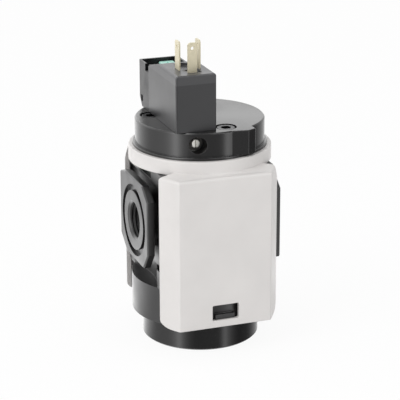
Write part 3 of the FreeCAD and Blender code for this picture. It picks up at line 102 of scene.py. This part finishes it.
def surface_finish(name, colour, worn, roughness, grain, relief, wave, edge, turned=0, **shader_values):
    """A finish with a fine grain, a slow drift of tone and gloss, and edges that are worn and soft.

    Colour and worn are the tones of the open surface and of rubbed edges. Sizes are in mm: the
    grain's width and relief, the wave over which tone and gloss drift, the rounding of sharp
    edges, and the spacing of marks on a turned piece. The grain of fine skins is drawn wider than
    the real one, which would not show. An edge counts as rubbed where the cosine between its
    rounded and its true normal falls, in patches that a finer noise gives.
    """
    tone_drift, gloss_drift = 0.08, 0.15
    noise_low, noise_high = 0.3, 0.7
    scuffs_per_metre = 700.0
    edge_begins, edge_full, edge_wear = 0.985, 0.80, 0.9
    stretched_gloss, quarter_turn = 0.8, 0.25
    material = bpy.data.materials.new(name)
    material.use_nodes = True
    tree = material.node_tree
    shader = tree.nodes["Principled BSDF"]
    for key, value in shader_values.items():
        shader.inputs[key.replace("_", " ")].default_value = value
    place = add(tree, "ShaderNodeTexCoord", {}, {}).outputs["Object"]
    drift = add(tree, "ShaderNodeTexNoise", {"Scale": 1 / (wave * mm), "Detail": 3.0}, {"Vector": place})
    tone = add(tree, "ShaderNodeMapRange", {"To Min": 1 - tone_drift, "To Max": 1 + tone_drift},
               {"Value": drift.outputs["Fac"]})
    open_tone = add(tree, "ShaderNodeVectorMath", {"operation": "SCALE", 0: linear(colour)[:3]},
                    {"Scale": tone.outputs["Result"]})
    rounded = add(tree, "ShaderNodeBevel", {"samples": 6, "Radius": edge * mm}, {})
    true_normal = add(tree, "ShaderNodeNewGeometry", {}, {}).outputs["Normal"]
    agreement = add(tree, "ShaderNodeVectorMath", {"operation": "DOT_PRODUCT"},
                    {0: rounded.outputs["Normal"], 1: true_normal})
    scuffs = add(tree, "ShaderNodeTexNoise", {"Scale": scuffs_per_metre, "Detail": 4.0}, {"Vector": place})
    at_edge = add(tree, "ShaderNodeMapRange",
                  {"From Min": edge_begins, "From Max": edge_full, "To Max": edge_wear},
                  {"Value": agreement.outputs["Value"]})
    rubbed = add(tree, "ShaderNodeMath", {"operation": "MULTIPLY"},
                 {0: at_edge.outputs["Result"], 1: scuffs.outputs["Fac"]})
    mixed = add(tree, "ShaderNodeMix", {"data_type": "RGBA", 7: linear(worn)},
                {0: rubbed.outputs["Value"], 6: open_tone.outputs["Vector"]})
    gloss = add(tree, "ShaderNodeMapRange",
                {"From Min": noise_low, "From Max": noise_high,
                 "To Min": roughness * (1 - gloss_drift), "To Max": roughness * (1 + gloss_drift)},
                {"Value": drift.outputs["Fac"]})
    texture = add(tree, "ShaderNodeTexNoise", {"Scale": 1 / (grain * mm), "Detail": 2.0}, {"Vector": place})
    bump = add(tree, "ShaderNodeBump", {"Distance": relief * mm, "Strength": 1.0},
               {"Height": texture.outputs["Fac"], "Normal": rounded.outputs["Normal"]})
    normal = bump.outputs["Normal"]
    if turned:
        normal = turning_marks(tree, place, normal, turned)
        shader.inputs["Anisotropic"].default_value = stretched_gloss
        shader.inputs["Anisotropic Rotation"].default_value = quarter_turn
        round_axis = add(tree, "ShaderNodeTangent", {"direction_type": "RADIAL", "axis": "Z"}, {})
        tree.links.new(round_axis.outputs["Tangent"], shader.inputs["Tangent"])
    tree.links.new(mixed.outputs[2], shader.inputs["Base Color"])
    tree.links.new(gloss.outputs["Result"], shader.inputs["Roughness"])
    tree.links.new(normal, shader.inputs["Normal"])
    return material


def dress(material, *nodes):
    """Gives a material to the slots of CAD nodes."""
    for node in nodes:
        for material_slot in frame["nodes"][node].material_slots:
            material_slot.material = material


def new_object(name, data):
    """An object of a mesh, a lamp or a camera, put in the scene."""
    made = bpy.data.objects.new(name, data)
    bpy.context.collection.objects.link(made)
    return made


def closed_surface(name, points, material, body, capped=False):
    """A mesh on a grid of points, riding on a body.

    Each point is joined to the next in its row and to the same place in the next row. The grid
    closes on itself both ways, or has flat caps on its first and last rows.
    """
    rows, columns = points.shape[:2]
    strips = rows - 1 if capped else rows
    number = np.arange(rows * columns).reshape(rows, columns)
    below = np.roll(number, -1, axis=0)
    corners = np.stack([number, below, np.roll(below, -1, axis=1), np.roll(number, -1, axis=1)], axis=-1)
    faces = corners[:strips].reshape(-1, 4).tolist()
    if capped:
        faces += [number[0].tolist(), number[-1, ::-1].tolist()]
    mesh = bpy.data.meshes.new(name)
    mesh.from_pydata(points.reshape(-1, 3), [], faces)
    smooth = np.ones(len(faces), dtype=bool)
    smooth[strips * columns:] = False
    mesh.polygons.foreach_set("use_smooth", smooth)
    mesh.materials.append(material)
    piece = new_object(name, mesh)
    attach(piece, body)
    return piece


def along(axis, centre, radius, turn, distance):
    """Points at a radius and a turn round a line along X, Y or Z, moved along it by a distance."""
    across = np.stack(np.broadcast_arrays(radius * np.cos(turn), radius * np.sin(turn), distance), axis=-1)
    order = {"X": [2, 0, 1], "Y": [1, 2, 0], "Z": [0, 1, 2]}[axis]
    return across[..., order] + np.array(centre)


def thread(name, axis, mouth, inward, radius, pitch, depth, start, end, steps, material):
    """A thread standing on a bore's wall, as one closed sleeve. Inward is 1 or -1 along the axis.

    Its inner side is the wall's radius less a ridge, and the ridge is a triangle wave of distance
    over pitch less turn, flattened at crest and root, that fades out at both ends. Its outer side
    is the wall itself. Start and end are distances from the bore's mouth.
    """
    points_per_pitch = 10
    flat = 0.15
    wall, root = radius - 0.01 * mm, radius - 0.03 * mm
    turn = np.linspace(0, 2 * np.pi, steps, endpoint=False)[:, None]
    distance = np.linspace(start, end, int((end - start) / pitch * points_per_pitch))[None, :]
    saw = np.abs(((distance / pitch - inward * turn / (2 * np.pi)) % 1.0) * 2 - 1)
    ridge = np.clip((saw - flat) / (1 - 2 * flat), 0, 1)
    fade = np.clip(np.minimum(distance - start, end - distance) / pitch, 0, 1)
    inner = root - depth * ridge * fade
    shell = np.concatenate([inner, np.full((steps, 2), wall)], axis=1)
    way = np.concatenate([distance, [[end, start]]], axis=1)
    points = along(axis, mouth, shell, np.broadcast_to(turn, shell.shape), inward * way)
    if inward < 0:
        points = points[::-1]
    return closed_surface(name, points, material, "valve")


# Hard anodising over turned metal: near black, with a low sheen that the turning marks stretch.
foot_anodise = surface_finish(
    "hard_anodised_turned_bar", colour="#0D0C0D", worn="#3A3838", roughness=0.20, grain=0.8,
    relief=0.0006, wave=11, edge=0.3, turned=0.5, IOR=1.5)
dress(foot_anodise, "bottom_plug")

# A freshly cut and anodised thread: dull, dark, with a thin light line on each crest.
bare_thread = surface_finish(
    "anodised_cut_thread", colour="#101010", worn="#2A2929", roughness=0.50, grain=0.5,
    relief=0.002, wave=5, edge=0.1, IOR=1.4)
mounts = {mount["name"]: mount for mount in frame["record"]["mounts"]}
port_form = {
    "radius": mounts["exhaust_port"]["dims"]["r_mm"] * mm, "pitch": 1.814 * mm, "depth": 0.85 * mm,
    "start": 1.2 * mm, "steps": 96, "material": bare_thread}
thread("exhaust_thread", "Z", (0, 0, 0), 1, end=11.8 * mm, **port_form)


# Sealing rings of the foot. Moulded nitrile rubber, round in section, dull black with a faint
# mould line. One sits round the foot's spigot, one round the sliding stem.

def o_ring(node, body, steps=96):
    """A round-section ring in place of a node: a small circle carried round the mean circle.

    The node's box gives the axis, the middle, the outer radius and the cord. They are rounded to
    hundredths of a millimetre, because a circle's facets leave its box a little short.
    """
    section_steps = 14
    low, high = [np.array(corner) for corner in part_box(node)]
    size = high - low
    centre = ((low + high) / 2).round(5)
    cord = round(size.min(), 5)
    mean = round(size.max() / 2, 5) - cord / 2
    turn = np.linspace(0, 2 * np.pi, steps, endpoint=False)[:, None]
    lap = np.linspace(0, 2 * np.pi, section_steps, endpoint=False)[None, :]
    radius = mean + cord / 2 * np.cos(lap)
    points = along("XYZ"[size.argmin()], centre, radius, turn, cord / 2 * np.sin(lap))
    ring = closed_surface(node + "_round", points, rubber, body)
    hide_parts(node)


# Nitrile rubber: soft black, with no mirror image and a faint sheen.
rubber = surface_finish(
    "moulded_nitrile_rubber", colour="#141414", worn="#2A2A2A", roughness=0.55, grain=0.25,
    relief=0.004, wave=3, edge=0.05)
o_ring("bottom_plug_o_ring", "valve")
o_ring("stem_o_ring", "valve", steps=64)


# Body. An aluminium die casting with machined flange faces, anodised black all over. The cast
# skin is a little uneven and satin, so its walls mirror the room softly.
cast_anodise = surface_finish(
    "anodised_die_casting", colour="#100F10", worn="#343232", roughness=0.34, grain=1.1,
    relief=0.004, wave=12, edge=0.4, IOR=1.67)
dress(cast_anodise, "valve_body")
port_height = mounts["inlet_port"]["pos_m"][2]
for thread_name, face, inward in (("inlet_thread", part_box("valve_body")[0].x, 1),
                                  ("outlet_thread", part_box("valve_body")[1].x, -1)):
    thread(thread_name, "X", (face, 0, port_height), inward, end=13.2 * mm, **port_form)


# Poppet. A brass disc with a hollow stem, turned in one piece, and a flat rubber facing. A
# spring of drawn steel wire holds it up against the seat.

def wire_spring(node, wire, turns, body, axis="Z"):
    """A compression spring in place of a node: a circle of the wire's size carried up a helix.

    The height stays level for three quarters of a turn at each end and rises evenly between. The
    ends and the outer radius are those of the node's box.
    """
    steps_per_turn, section_steps, dead_turns = 28, 12, 0.75
    way = "XYZ".index(axis)
    low, high = [np.array(corner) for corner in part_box(node)]
    mean = np.delete(high - low, way).max() / 2 - wire / 2
    centre = (low + high) / 2
    centre[way] = 0
    turned = np.linspace(0, turns, turns * steps_per_turn + 1)[:, None]
    lap = np.linspace(0, 2 * np.pi, section_steps, endpoint=False)[None, :]
    rise = np.clip((turned - dead_turns) / (turns - 2 * dead_turns), 0, 1)
    height = low[way] + wire / 2 + (high[way] - low[way] - wire) * rise
    points = along(axis, centre, mean + wire / 2 * np.cos(lap), 2 * np.pi * turned,
                   height + wire / 2 * np.sin(lap))
    spring = closed_surface(node + "_wire", points, drawn_wire, body, capped=True)
    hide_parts(node)
    return spring


def flatten_with(spring):
    """Gives a spring its own copy of its mesh."""
    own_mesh(spring)


# Turned brass: warm metal with fine rings, lighter where it is rubbed.
turned_brass = surface_finish(
    "turned_brass", colour="#B59256", worn="#D8BE86", roughness=0.26, grain=0.3, relief=0.001,
    wave=6, edge=0.12, turned=0.4, Metallic=1.0)
dress(turned_brass, "main_poppet")
dress(rubber, "poppet_seal")

# Drawn steel wire: grey metal, smooth along its length.
drawn_wire = surface_finish(
    "drawn_spring_wire", colour="#8E8E90", worn="#B5B5B6", roughness=0.30, grain=0.2, relief=0.001,
    wave=4, edge=0.1, Metallic=1.0)
poppet_spring = wire_spring("poppet_spring", wire=1.8 * mm, turns=3, body="valve")
flatten_with(poppet_spring)


# Piston. Turned from white acetal, faintly glossy, with its ring in a groove round the crown and
# a rubber seal on its nose. A lighter spring between it and the stem's collar lifts it again,
# which opens the exhaust.
acetal = surface_finish(
    "turned_acetal", colour="#DEDBD1", worn="#EAE8E0", roughness=0.40, grain=0.3, relief=0.001,
    wave=8, edge=0.2, turned=0.35)
dress(acetal, "actuator_piston")
dress(rubber, "piston_nose_seal")
o_ring("piston_o_ring", "piston")
piston_spring = wire_spring("piston_spring", wire=1.4 * mm, turns=3, body="poppet")
flatten_with(piston_spring)


# Cap. Turned from aluminium bar and anodised a glossy black, on a ring of its own. The turning
# marks draw the two lamps out into tall soft streaks on its side, and its top mirrors the bright
# room behind.
o_ring("cap_o_ring", "valve")
gloss_anodise = surface_finish(
    "gloss_anodised_turned_bar", colour="#0F0E0F", worn="#464343", roughness=0.22, grain=1.4,
    relief=0.0008, wave=14, edge=0.35, turned=0.6, IOR=1.6)
dress(gloss_anodise, "pilot_cap")


# Cap screws and the pilot valve's screws. Socket-head steel screws, cold formed and blackened in
# hot salts, which leaves them a soft grey black with a thin film of oil.
blackened_steel = surface_finish(
    "blackened_steel", colour="#2E2E30", worn="#6A6A6C", roughness=0.34, grain=0.3, relief=0.002,
    wave=3, edge=0.2, Metallic=0.9)
dress(blackened_steel, "cap_screws", "pilot_screws")


# Covers. Two like mouldings in light warm grey ABS, snapped on over the body's catches. Their
# shoulder slopes down from the band, and one of its corners is slanted. The mould was spark
# eroded, which leaves a very fine even grain and a silky gloss.

# The band's radius, the front face's distance from the middle, and the slanted facet's level
# normal with its distance from the axis.
band_radius = 38.1 * mm
front_face = -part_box("front_cover")[0].y
facet_normal, facet_reach = (0.8366, 0.5479), 43.41 * mm
# The heights between which a point is on the shoulder, and how far the shoulder falls outwards.
shoulder_low, shoulder_high = 99.9 * mm, 101.35 * mm
shoulder_fall = 2.1 * mm
# The slanted corner: where it begins, how long it is and how far it falls.
corner_cut, corner_run, corner_fall = 30.7 * mm, 2.2 * mm, 5.0 * mm
merge_distance = 0.005 * mm
crease = math.radians(28)


def sloped_cover(node, end):
    """A copy of a cover with a sloped shoulder, in place of the node.

    The shoulder's points drop by its fall times their share of the way from the band's radius out
    to the cover's outline, along the same line from the axis. Past the corner's cut, at the end
    that is given as 1 or -1, they drop by the corner's fall in step with the way along its run.
    """
    copied = bmesh.new()
    copied.from_mesh(frame["nodes"][node].data)
    bmesh.ops.remove_doubles(copied, verts=copied.verts, dist=merge_distance)
    bmesh.ops.bisect_plane(copied, geom=copied.verts[:] + copied.edges[:] + copied.faces[:],
                           plane_co=(end * corner_cut, 0, 0), plane_no=(1, 0, 0))
    mesh = bpy.data.meshes.new(node + "_sloped")
    copied.to_mesh(mesh)
    copied.free()
    if "custom_normal" in mesh.attributes:
        mesh.attributes.remove(mesh.attributes["custom_normal"])
    places = np.empty(len(mesh.vertices) * 3)
    mesh.vertices.foreach_get("co", places)
    x, y, z = places.reshape(-1, 3).T
    radius = np.hypot(x, y)
    on_facet = (facet_normal[0] * np.abs(x) + facet_normal[1] * np.abs(y)) / facet_reach
    outline = radius / np.maximum(np.abs(y) / front_face, on_facet)
    share = np.clip((radius - band_radius) / (outline - band_radius), 0, 1)
    corner = np.clip((end * x - corner_cut) / corner_run, 0, 1)
    on_shoulder = (z > shoulder_low) & (z < shoulder_high)
    z -= np.where(on_shoulder, shoulder_fall * share + corner_fall * corner, 0)
    mesh.vertices.foreach_set("co", places)
    mesh.polygons.foreach_set("use_smooth", np.ones(len(mesh.polygons), dtype=bool))
    mesh.set_sharp_from_angle(angle=crease)
    mesh.materials.clear()
    mesh.materials.append(cover_abs)
    mesh.update()
    cover = new_object(node + "_sloped", mesh)
    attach(cover, "valve")
    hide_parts(node)


cover_abs = surface_finish(
    "silk_grey_abs", colour="#D9D6D4", worn="#E6E4E2", roughness=0.42, grain=0.35, relief=0.0035,
    wave=24, edge=0.5, IOR=1.52)
sloped_cover("front_cover", 1)
sloped_cover("rear_cover", -1)


# Adjusting screw in its sleeve, with a small sealing ring. The screw is steel, slotted, and
# nickel plated, so that its head shines in the cap's side. The brass sleeve that it turns in is
# blackened, but it is drawn a mid grey, lighter than its real dull dark grey: painted light that
# lifts the shade in the hole round the screw.
nickel = surface_finish(
    "bright_nickel_plate", colour="#E6E4DE", worn="#F0EEE9", roughness=0.45, grain=0.3, relief=0.001,
    wave=3, edge=0.3, Metallic=1.0)
dress(nickel, "adjuster_screw")
# Mid grey instead of dark grey: painted light in the shaded hole round the screw.
black_brass_painted_light = surface_finish(
    "blackened_brass_painted_light", colour="#575451", worn="#5F564C", roughness=0.50, grain=0.3, relief=0.002,
    wave=3, edge=0.15, Metallic=0.2)
dress(black_brass_painted_light, "adjuster_gland")
o_ring("adjuster_o_ring", "adjuster_travel", steps=40)


# Coil block. Winding, reel and yoke are cast into a block of dark glass-filled nylon. Its upper
# end, which carries the contacts, comes from the mould a little duller and lighter.
coil_nylon = surface_finish(
    "glass_filled_coil_nylon", colour="#262628", worn="#505052", roughness=0.38, grain=0.45,
    relief=0.004, wave=32, edge=0.35, IOR=1.6)
upper_end_low, upper_end_full = 146.9 * mm, 147.2 * mm
tree = coil_nylon.node_tree
base_colour = tree.nodes["Principled BSDF"].inputs["Base Color"]
block_place = add(tree, "ShaderNodeTexCoord", {}, {}).outputs["Object"]
height = add(tree, "ShaderNodeSeparateXYZ", {}, {0: block_place})
upper = add(tree, "ShaderNodeMapRange", {"From Min": upper_end_low, "From Max": upper_end_full},
            {"Value": height.outputs["Z"]})
duller = add(tree, "ShaderNodeMix", {"data_type": "RGBA", 7: linear("#39393B")},
             {0: upper.outputs["Result"], 6: base_colour.links[0].from_socket})
tree.links.new(duller.outputs[2], base_colour)
dress(coil_nylon, "coil_housing")


# Inside of the coil block. The yoke, the fixed core, the plunger and its tube are machined metal,
# bare and grey, and the plunger ends in a rubber seal. The winding of enamelled copper wire,
# coppery brown and glossy, is on a reel of uncoloured nylon, which is a yellowish white.
iron = surface_finish(
    "machined_magnet_iron", colour="#8A8A8C", worn="#A8A8AA", roughness=0.32, grain=0.3, relief=0.002,
    wave=4, edge=0.2, Metallic=1.0)
dress(iron, "coil_yoke", "fixed_core", "plunger", "armature_tube")
dress(rubber, "plunger_seal")
wire_spring("plunger_spring", wire=0.45 * mm, turns=4, body="plunger", axis="Y")
reel_nylon = surface_finish(
    "natural_reel_nylon", colour="#CFC7AE", worn="#DDD6C2", roughness=0.45, grain=0.4, relief=0.002,
    wave=6, edge=0.2)
dress(reel_nylon, "coil_bobbin")
enamelled_copper = surface_finish(
    "enamelled_copper_wire", colour="#9A4A28", worn="#B8693F", roughness=0.28, grain=0.3, relief=0.02,
    wave=3, edge=0.1, Metallic=0.8)
dress(enamelled_copper, "coil_winding")


# Contacts: three flat tabs punched from brass strip and tinned, which leaves them a creamy
# silver. The blackened insert between them takes the plug's screw; it is drawn in the sleeve's
# lightened grey, painted light that makes it paler than blackened brass.
tinned = surface_finish(
    "tinned_brass_strip", colour="#D3CBB1", worn="#CDBE8C", roughness=0.45, grain=0.35, relief=0.003,
    wave=3, edge=0.12, Metallic=0.3)
dress(tinned, "power_blades", "earth_blade")
# The same lightened grey as the sleeve: painted light.
dress(black_brass_painted_light, "connector_insert")
insert_hole = mounts["connector_screw_hole"]
insert_floor = (*insert_hole["pos_m"][:2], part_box("connector_insert")[0].z)
thread("insert_thread", "Z", insert_floor, 1, radius=insert_hole["dims"]["r_mm"] * mm, pitch=0.5 * mm,
       depth=0.2 * mm, start=0.2 * mm, end=3.8 * mm, steps=32, material=black_brass_painted_light)


# Pilot valve. Its body is moulded in black glass-filled nylon, satin and a little streaky, and is
# screwed to the cap from below over a rubber gasket. The nozzle in it is turned from brass.
pilot_nylon = surface_finish(
    "glass_filled_pilot_nylon", colour="#0A0A0C", worn="#2C2C2E", roughness=0.40, grain=0.45,
    relief=0.004, wave=10, edge=0.35)
dress(pilot_nylon, "pilot_valve_body")
dress(rubber, "pilot_gasket")
dress(turned_brass, "pilot_nozzle")


# Override button. Moulded in mint green acetal, smooth and slightly shiny, with a slot for a
# screwdriver. A small spring holds it up in the pilot valve's pocket, and a ring seals its stem.
mint = surface_finish(
    "moulded_mint_acetal", colour="#B6E8DA", worn="#C6EEE4", roughness=0.32, grain=0.4, relief=0.0015,
    wave=5, edge=0.25)
dress(mint, "override_button")
o_ring("override_o_ring", "override", steps=32)
override_spring = wire_spring("override_spring", wire=0.4 * mm, turns=3, body="valve")
flatten_with(override_spring)


# Floor. A wide sheet of white paper. It keeps a faint shadow under the valve. Mirror images look
# through it into the room, and find a patch close behind the valve where the paper glows: painted
# light that only mirror images see.
floor_reach = 3
paper_white, paper_roughness = 0.93, 0.9
# The glowing patch, painted light for mirror images, reaches its strength at a depth behind the
# valve's middle, and fades out between two distances from it.
patch_full, patch_fades, patch_ends = 0.05, 0.13, 0.18
patch_strength = 0.9
# The share of plain white in what the camera sees of the paper; the rest takes the shadow.
white_share = 0.92
floor_mesh = bpy.data.meshes.new("floor")
floor_corners = [(x * floor_reach, y * floor_reach, 0) for x, y in ((-1, -1), (1, -1), (1, 1), (-1, 1))]
floor_mesh.from_pydata(floor_corners, [], [(0, 1, 2, 3)])
floor = new_object("floor", floor_mesh)
paper = bpy.data.materials.new("white_paper")
paper.use_nodes = True
sheet = paper.node_tree
paper_shader = sheet.nodes["Principled BSDF"]
paper_shader.inputs["Base Color"].default_value = (paper_white, paper_white, paper_white, 1)
paper_shader.inputs["Roughness"].default_value = paper_roughness
seen = add(sheet, "ShaderNodeLightPath", {}, {})
spot_on_floor = add(sheet, "ShaderNodeTexCoord", {}, {}).outputs["Object"]
away = add(sheet, "ShaderNodeVectorMath", {"operation": "LENGTH"}, {0: spot_on_floor})
near = add(sheet, "ShaderNodeMapRange",
           {"From Min": patch_fades, "From Max": patch_ends, "To Min": patch_strength, "To Max": 0.0},
           {"Value": away.outputs["Value"]})
depth = add(sheet, "ShaderNodeSeparateXYZ", {}, {0: spot_on_floor})
behind = add(sheet, "ShaderNodeMapRange", {"From Min": 0.0, "From Max": patch_full},
             {"Value": depth.outputs["Y"]})
patch = add(sheet, "ShaderNodeMath", {"operation": "MULTIPLY"},
            {0: near.outputs["Result"], 1: behind.outputs["Result"]})
# The patch's glow is painted light, seen only in mirror images.
patch_glow = add(sheet, "ShaderNodeEmission", {"Color": (1, 1, 1, 1)}, {"Strength": patch.outputs["Value"]})
through = add(sheet, "ShaderNodeBsdfTransparent", {}, {})
mirrored = add(sheet, "ShaderNodeAddShader", {}, {0: through.outputs[0], 1: patch_glow.outputs[0]})
white_glow = add(sheet, "ShaderNodeEmission", {"Color": (1, 1, 1, 1), "Strength": 1.0}, {})
share = add(sheet, "ShaderNodeMath", {"operation": "MULTIPLY", 1: white_share},
            {0: seen.outputs["Is Camera Ray"]})
plain_view = add(sheet, "ShaderNodeMixShader", {},
                 {0: share.outputs["Value"], 1: paper_shader.outputs[0], 2: white_glow.outputs[0]})
whole = add(sheet, "ShaderNodeMixShader", {},
            {0: seen.outputs["Is Glossy Ray"], 1: plain_view.outputs[0], 2: mirrored.outputs[0]})
sheet.links.new(whole.outputs[0], sheet.nodes["Material Output"].inputs["Surface"])
floor_mesh.materials.append(paper)


# Light. An even pale room that shows white to the camera, one large soft lamp on the left and a
# narrower one on the right front. In mirror images the room is dim in front and bright behind, and
# the two lamps stand in it as tall soft panels.
light_from_left, light_from_right = 1.0, 0.55
# In mirror images the light grows a little between these upward parts of a direction, from the
# brightest panel's strength to a higher one.
level_below, level_above = -0.05, 0.1
brightest, brightest_overhead = 3.0, 3.9
# The mirrored room's light by the bearing in degrees from the front, right positive. Its panels
# are at -62 and at 32.
room_light = {
    -180: 1.65, -160: 1.55, -135: 1.15, -120: 0.93, -103: 1.02, -86: 1.25, -78: 1.5, -70: 2.1,
    -65: 3.0, -60: 3.0, -55: 1.8, -48: 1.1, -41: 0.7, -30: 0.42, 15: 0.45, 22: 0.6, 27: 1.6,
    32: 2.4, 38: 1.3, 46: 0.7, 55: 0.35, 64: 0.22, 84: 0.22, 96: 0.3, 110: 0.6, 150: 1.15, 180: 1.6}
world = bpy.data.worlds.new("room")
world.use_nodes = True
room = world.node_tree
room.nodes.clear()
ray = add(room, "ShaderNodeLightPath", {}, {})
heading = add(room, "ShaderNodeTexCoord", {}, {}).outputs["Generated"]
heading_parts = add(room, "ShaderNodeSeparateXYZ", {}, {0: heading})
leftward = add(room, "ShaderNodeMapRange",
               {"From Min": -1.0, "From Max": 1.0, "To Min": light_from_left, "To Max": light_from_right},
               {"Value": heading_parts.outputs["X"]})
plain = add(room, "ShaderNodeBackground", {"Color": (1, 1, 1, 1)}, {"Strength": leftward.outputs["Result"]})
white = add(room, "ShaderNodeBackground", {"Color": (1, 1, 1, 1), "Strength": 1.0}, {})
frontward = add(room, "ShaderNodeMath", {"operation": "MULTIPLY", 1: -1.0},
                {0: heading_parts.outputs["Y"]})
bearing = add(room, "ShaderNodeMath", {"operation": "ARCTAN2"},
              {0: heading_parts.outputs["X"], 1: frontward.outputs["Value"]})
full_turn = add(room, "ShaderNodeMapRange", {"From Min": -math.pi, "From Max": math.pi},
                {"Value": bearing.outputs["Value"]})
panels = add(room, "ShaderNodeValToRGB", {}, {"Fac": full_turn.outputs["Result"]})
stops = panels.color_ramp.elements
for degrees, light in room_light.items():
    position = (degrees + 180) / 360
    # A new ramp already has a stop at each end.
    stop = {0: stops[0], 1: stops[-1]}.get(position) or stops.new(position)
    stop.color = (light / brightest, light / brightest, light / brightest, 1)
overhead = add(room, "ShaderNodeMapRange",
               {"From Min": level_below, "From Max": level_above,
                "To Min": brightest, "To Max": brightest_overhead},
               {"Value": heading_parts.outputs["Z"]})
panel_light = add(room, "ShaderNodeMath", {"operation": "MULTIPLY"},
                  {0: panels.outputs["Color"], 1: overhead.outputs["Result"]})
mirror_room = add(room, "ShaderNodeBackground", {"Color": (1, 1, 1, 1)},
                  {"Strength": panel_light.outputs["Value"]})
to_eye = add(room, "ShaderNodeMixShader", {},
             {0: ray.outputs["Is Camera Ray"], 1: plain.outputs[0], 2: white.outputs[0]})
to_gloss = add(room, "ShaderNodeMixShader", {},
               {0: ray.outputs["Is Glossy Ray"], 1: to_eye.outputs[0], 2: mirror_room.outputs[0]})
add(room, "ShaderNodeOutputWorld", {}, {"Surface": to_gloss.outputs[0]})
bpy.context.scene.world = world


def direction(turn, lift):
    """Unit vector from the valve to a turn from the front, right positive, and a lift, in degrees."""
    turn, lift = math.radians(turn), math.radians(lift)
    return Vector((math.sin(turn) * math.cos(lift), -math.cos(turn) * math.cos(lift), math.sin(lift)))


def soft_lamp(name, turn, lift, size, watts):
    """A square lamp that faces the valve's middle from a turn and a lift."""
    distance, aim = 1.2, Vector((0, 0, 0.08))
    place = direction(turn, lift)
    lamp = bpy.data.lights.new(name, "AREA")
    lamp.energy = watts
    lamp.size = size
    holder = new_object(name, lamp)
    holder.location = aim + place * distance
    holder.rotation_euler = place.to_track_quat("Z", "Y").to_euler()


soft_lamp("left_lamp", turn=-66, lift=40, size=0.6, watts=3.5)
soft_lamp("right_lamp", turn=32, lift=34, size=0.36, watts=1.5)


# Camera. A long lens, as the photograph's nearly parallel edges ask. It stands to the left of the
# front and looks down a little, at a spot below the valve's middle.
camera_turn, camera_lift, camera_roll = -19.69, 18.78, math.radians(-0.16)
focal_length = 154.08
camera_distance, camera_aside, aim_height = 0.9233, 0.0001, 0.07442
back = direction(camera_turn, camera_lift)
right = Vector((math.cos(math.radians(camera_turn)), math.sin(math.radians(camera_turn)), 0))
up = back.cross(right)
right_rolled = math.cos(camera_roll) * right + math.sin(camera_roll) * up
up_rolled = math.cos(camera_roll) * up - math.sin(camera_roll) * right
lens = bpy.data.cameras.new("camera")
lens.lens = focal_length
lens.clip_end = 20
camera = new_object("camera", lens)
spot = Vector((0, 0, aim_height)) + right * camera_aside + back * camera_distance
camera.matrix_world = Matrix.Translation(spot) @ Matrix((right_rolled, up_rolled, back)).transposed().to_4x4()
bpy.context.scene.camera = camera
bpy.context.scene.view_settings.view_transform = "Standard"
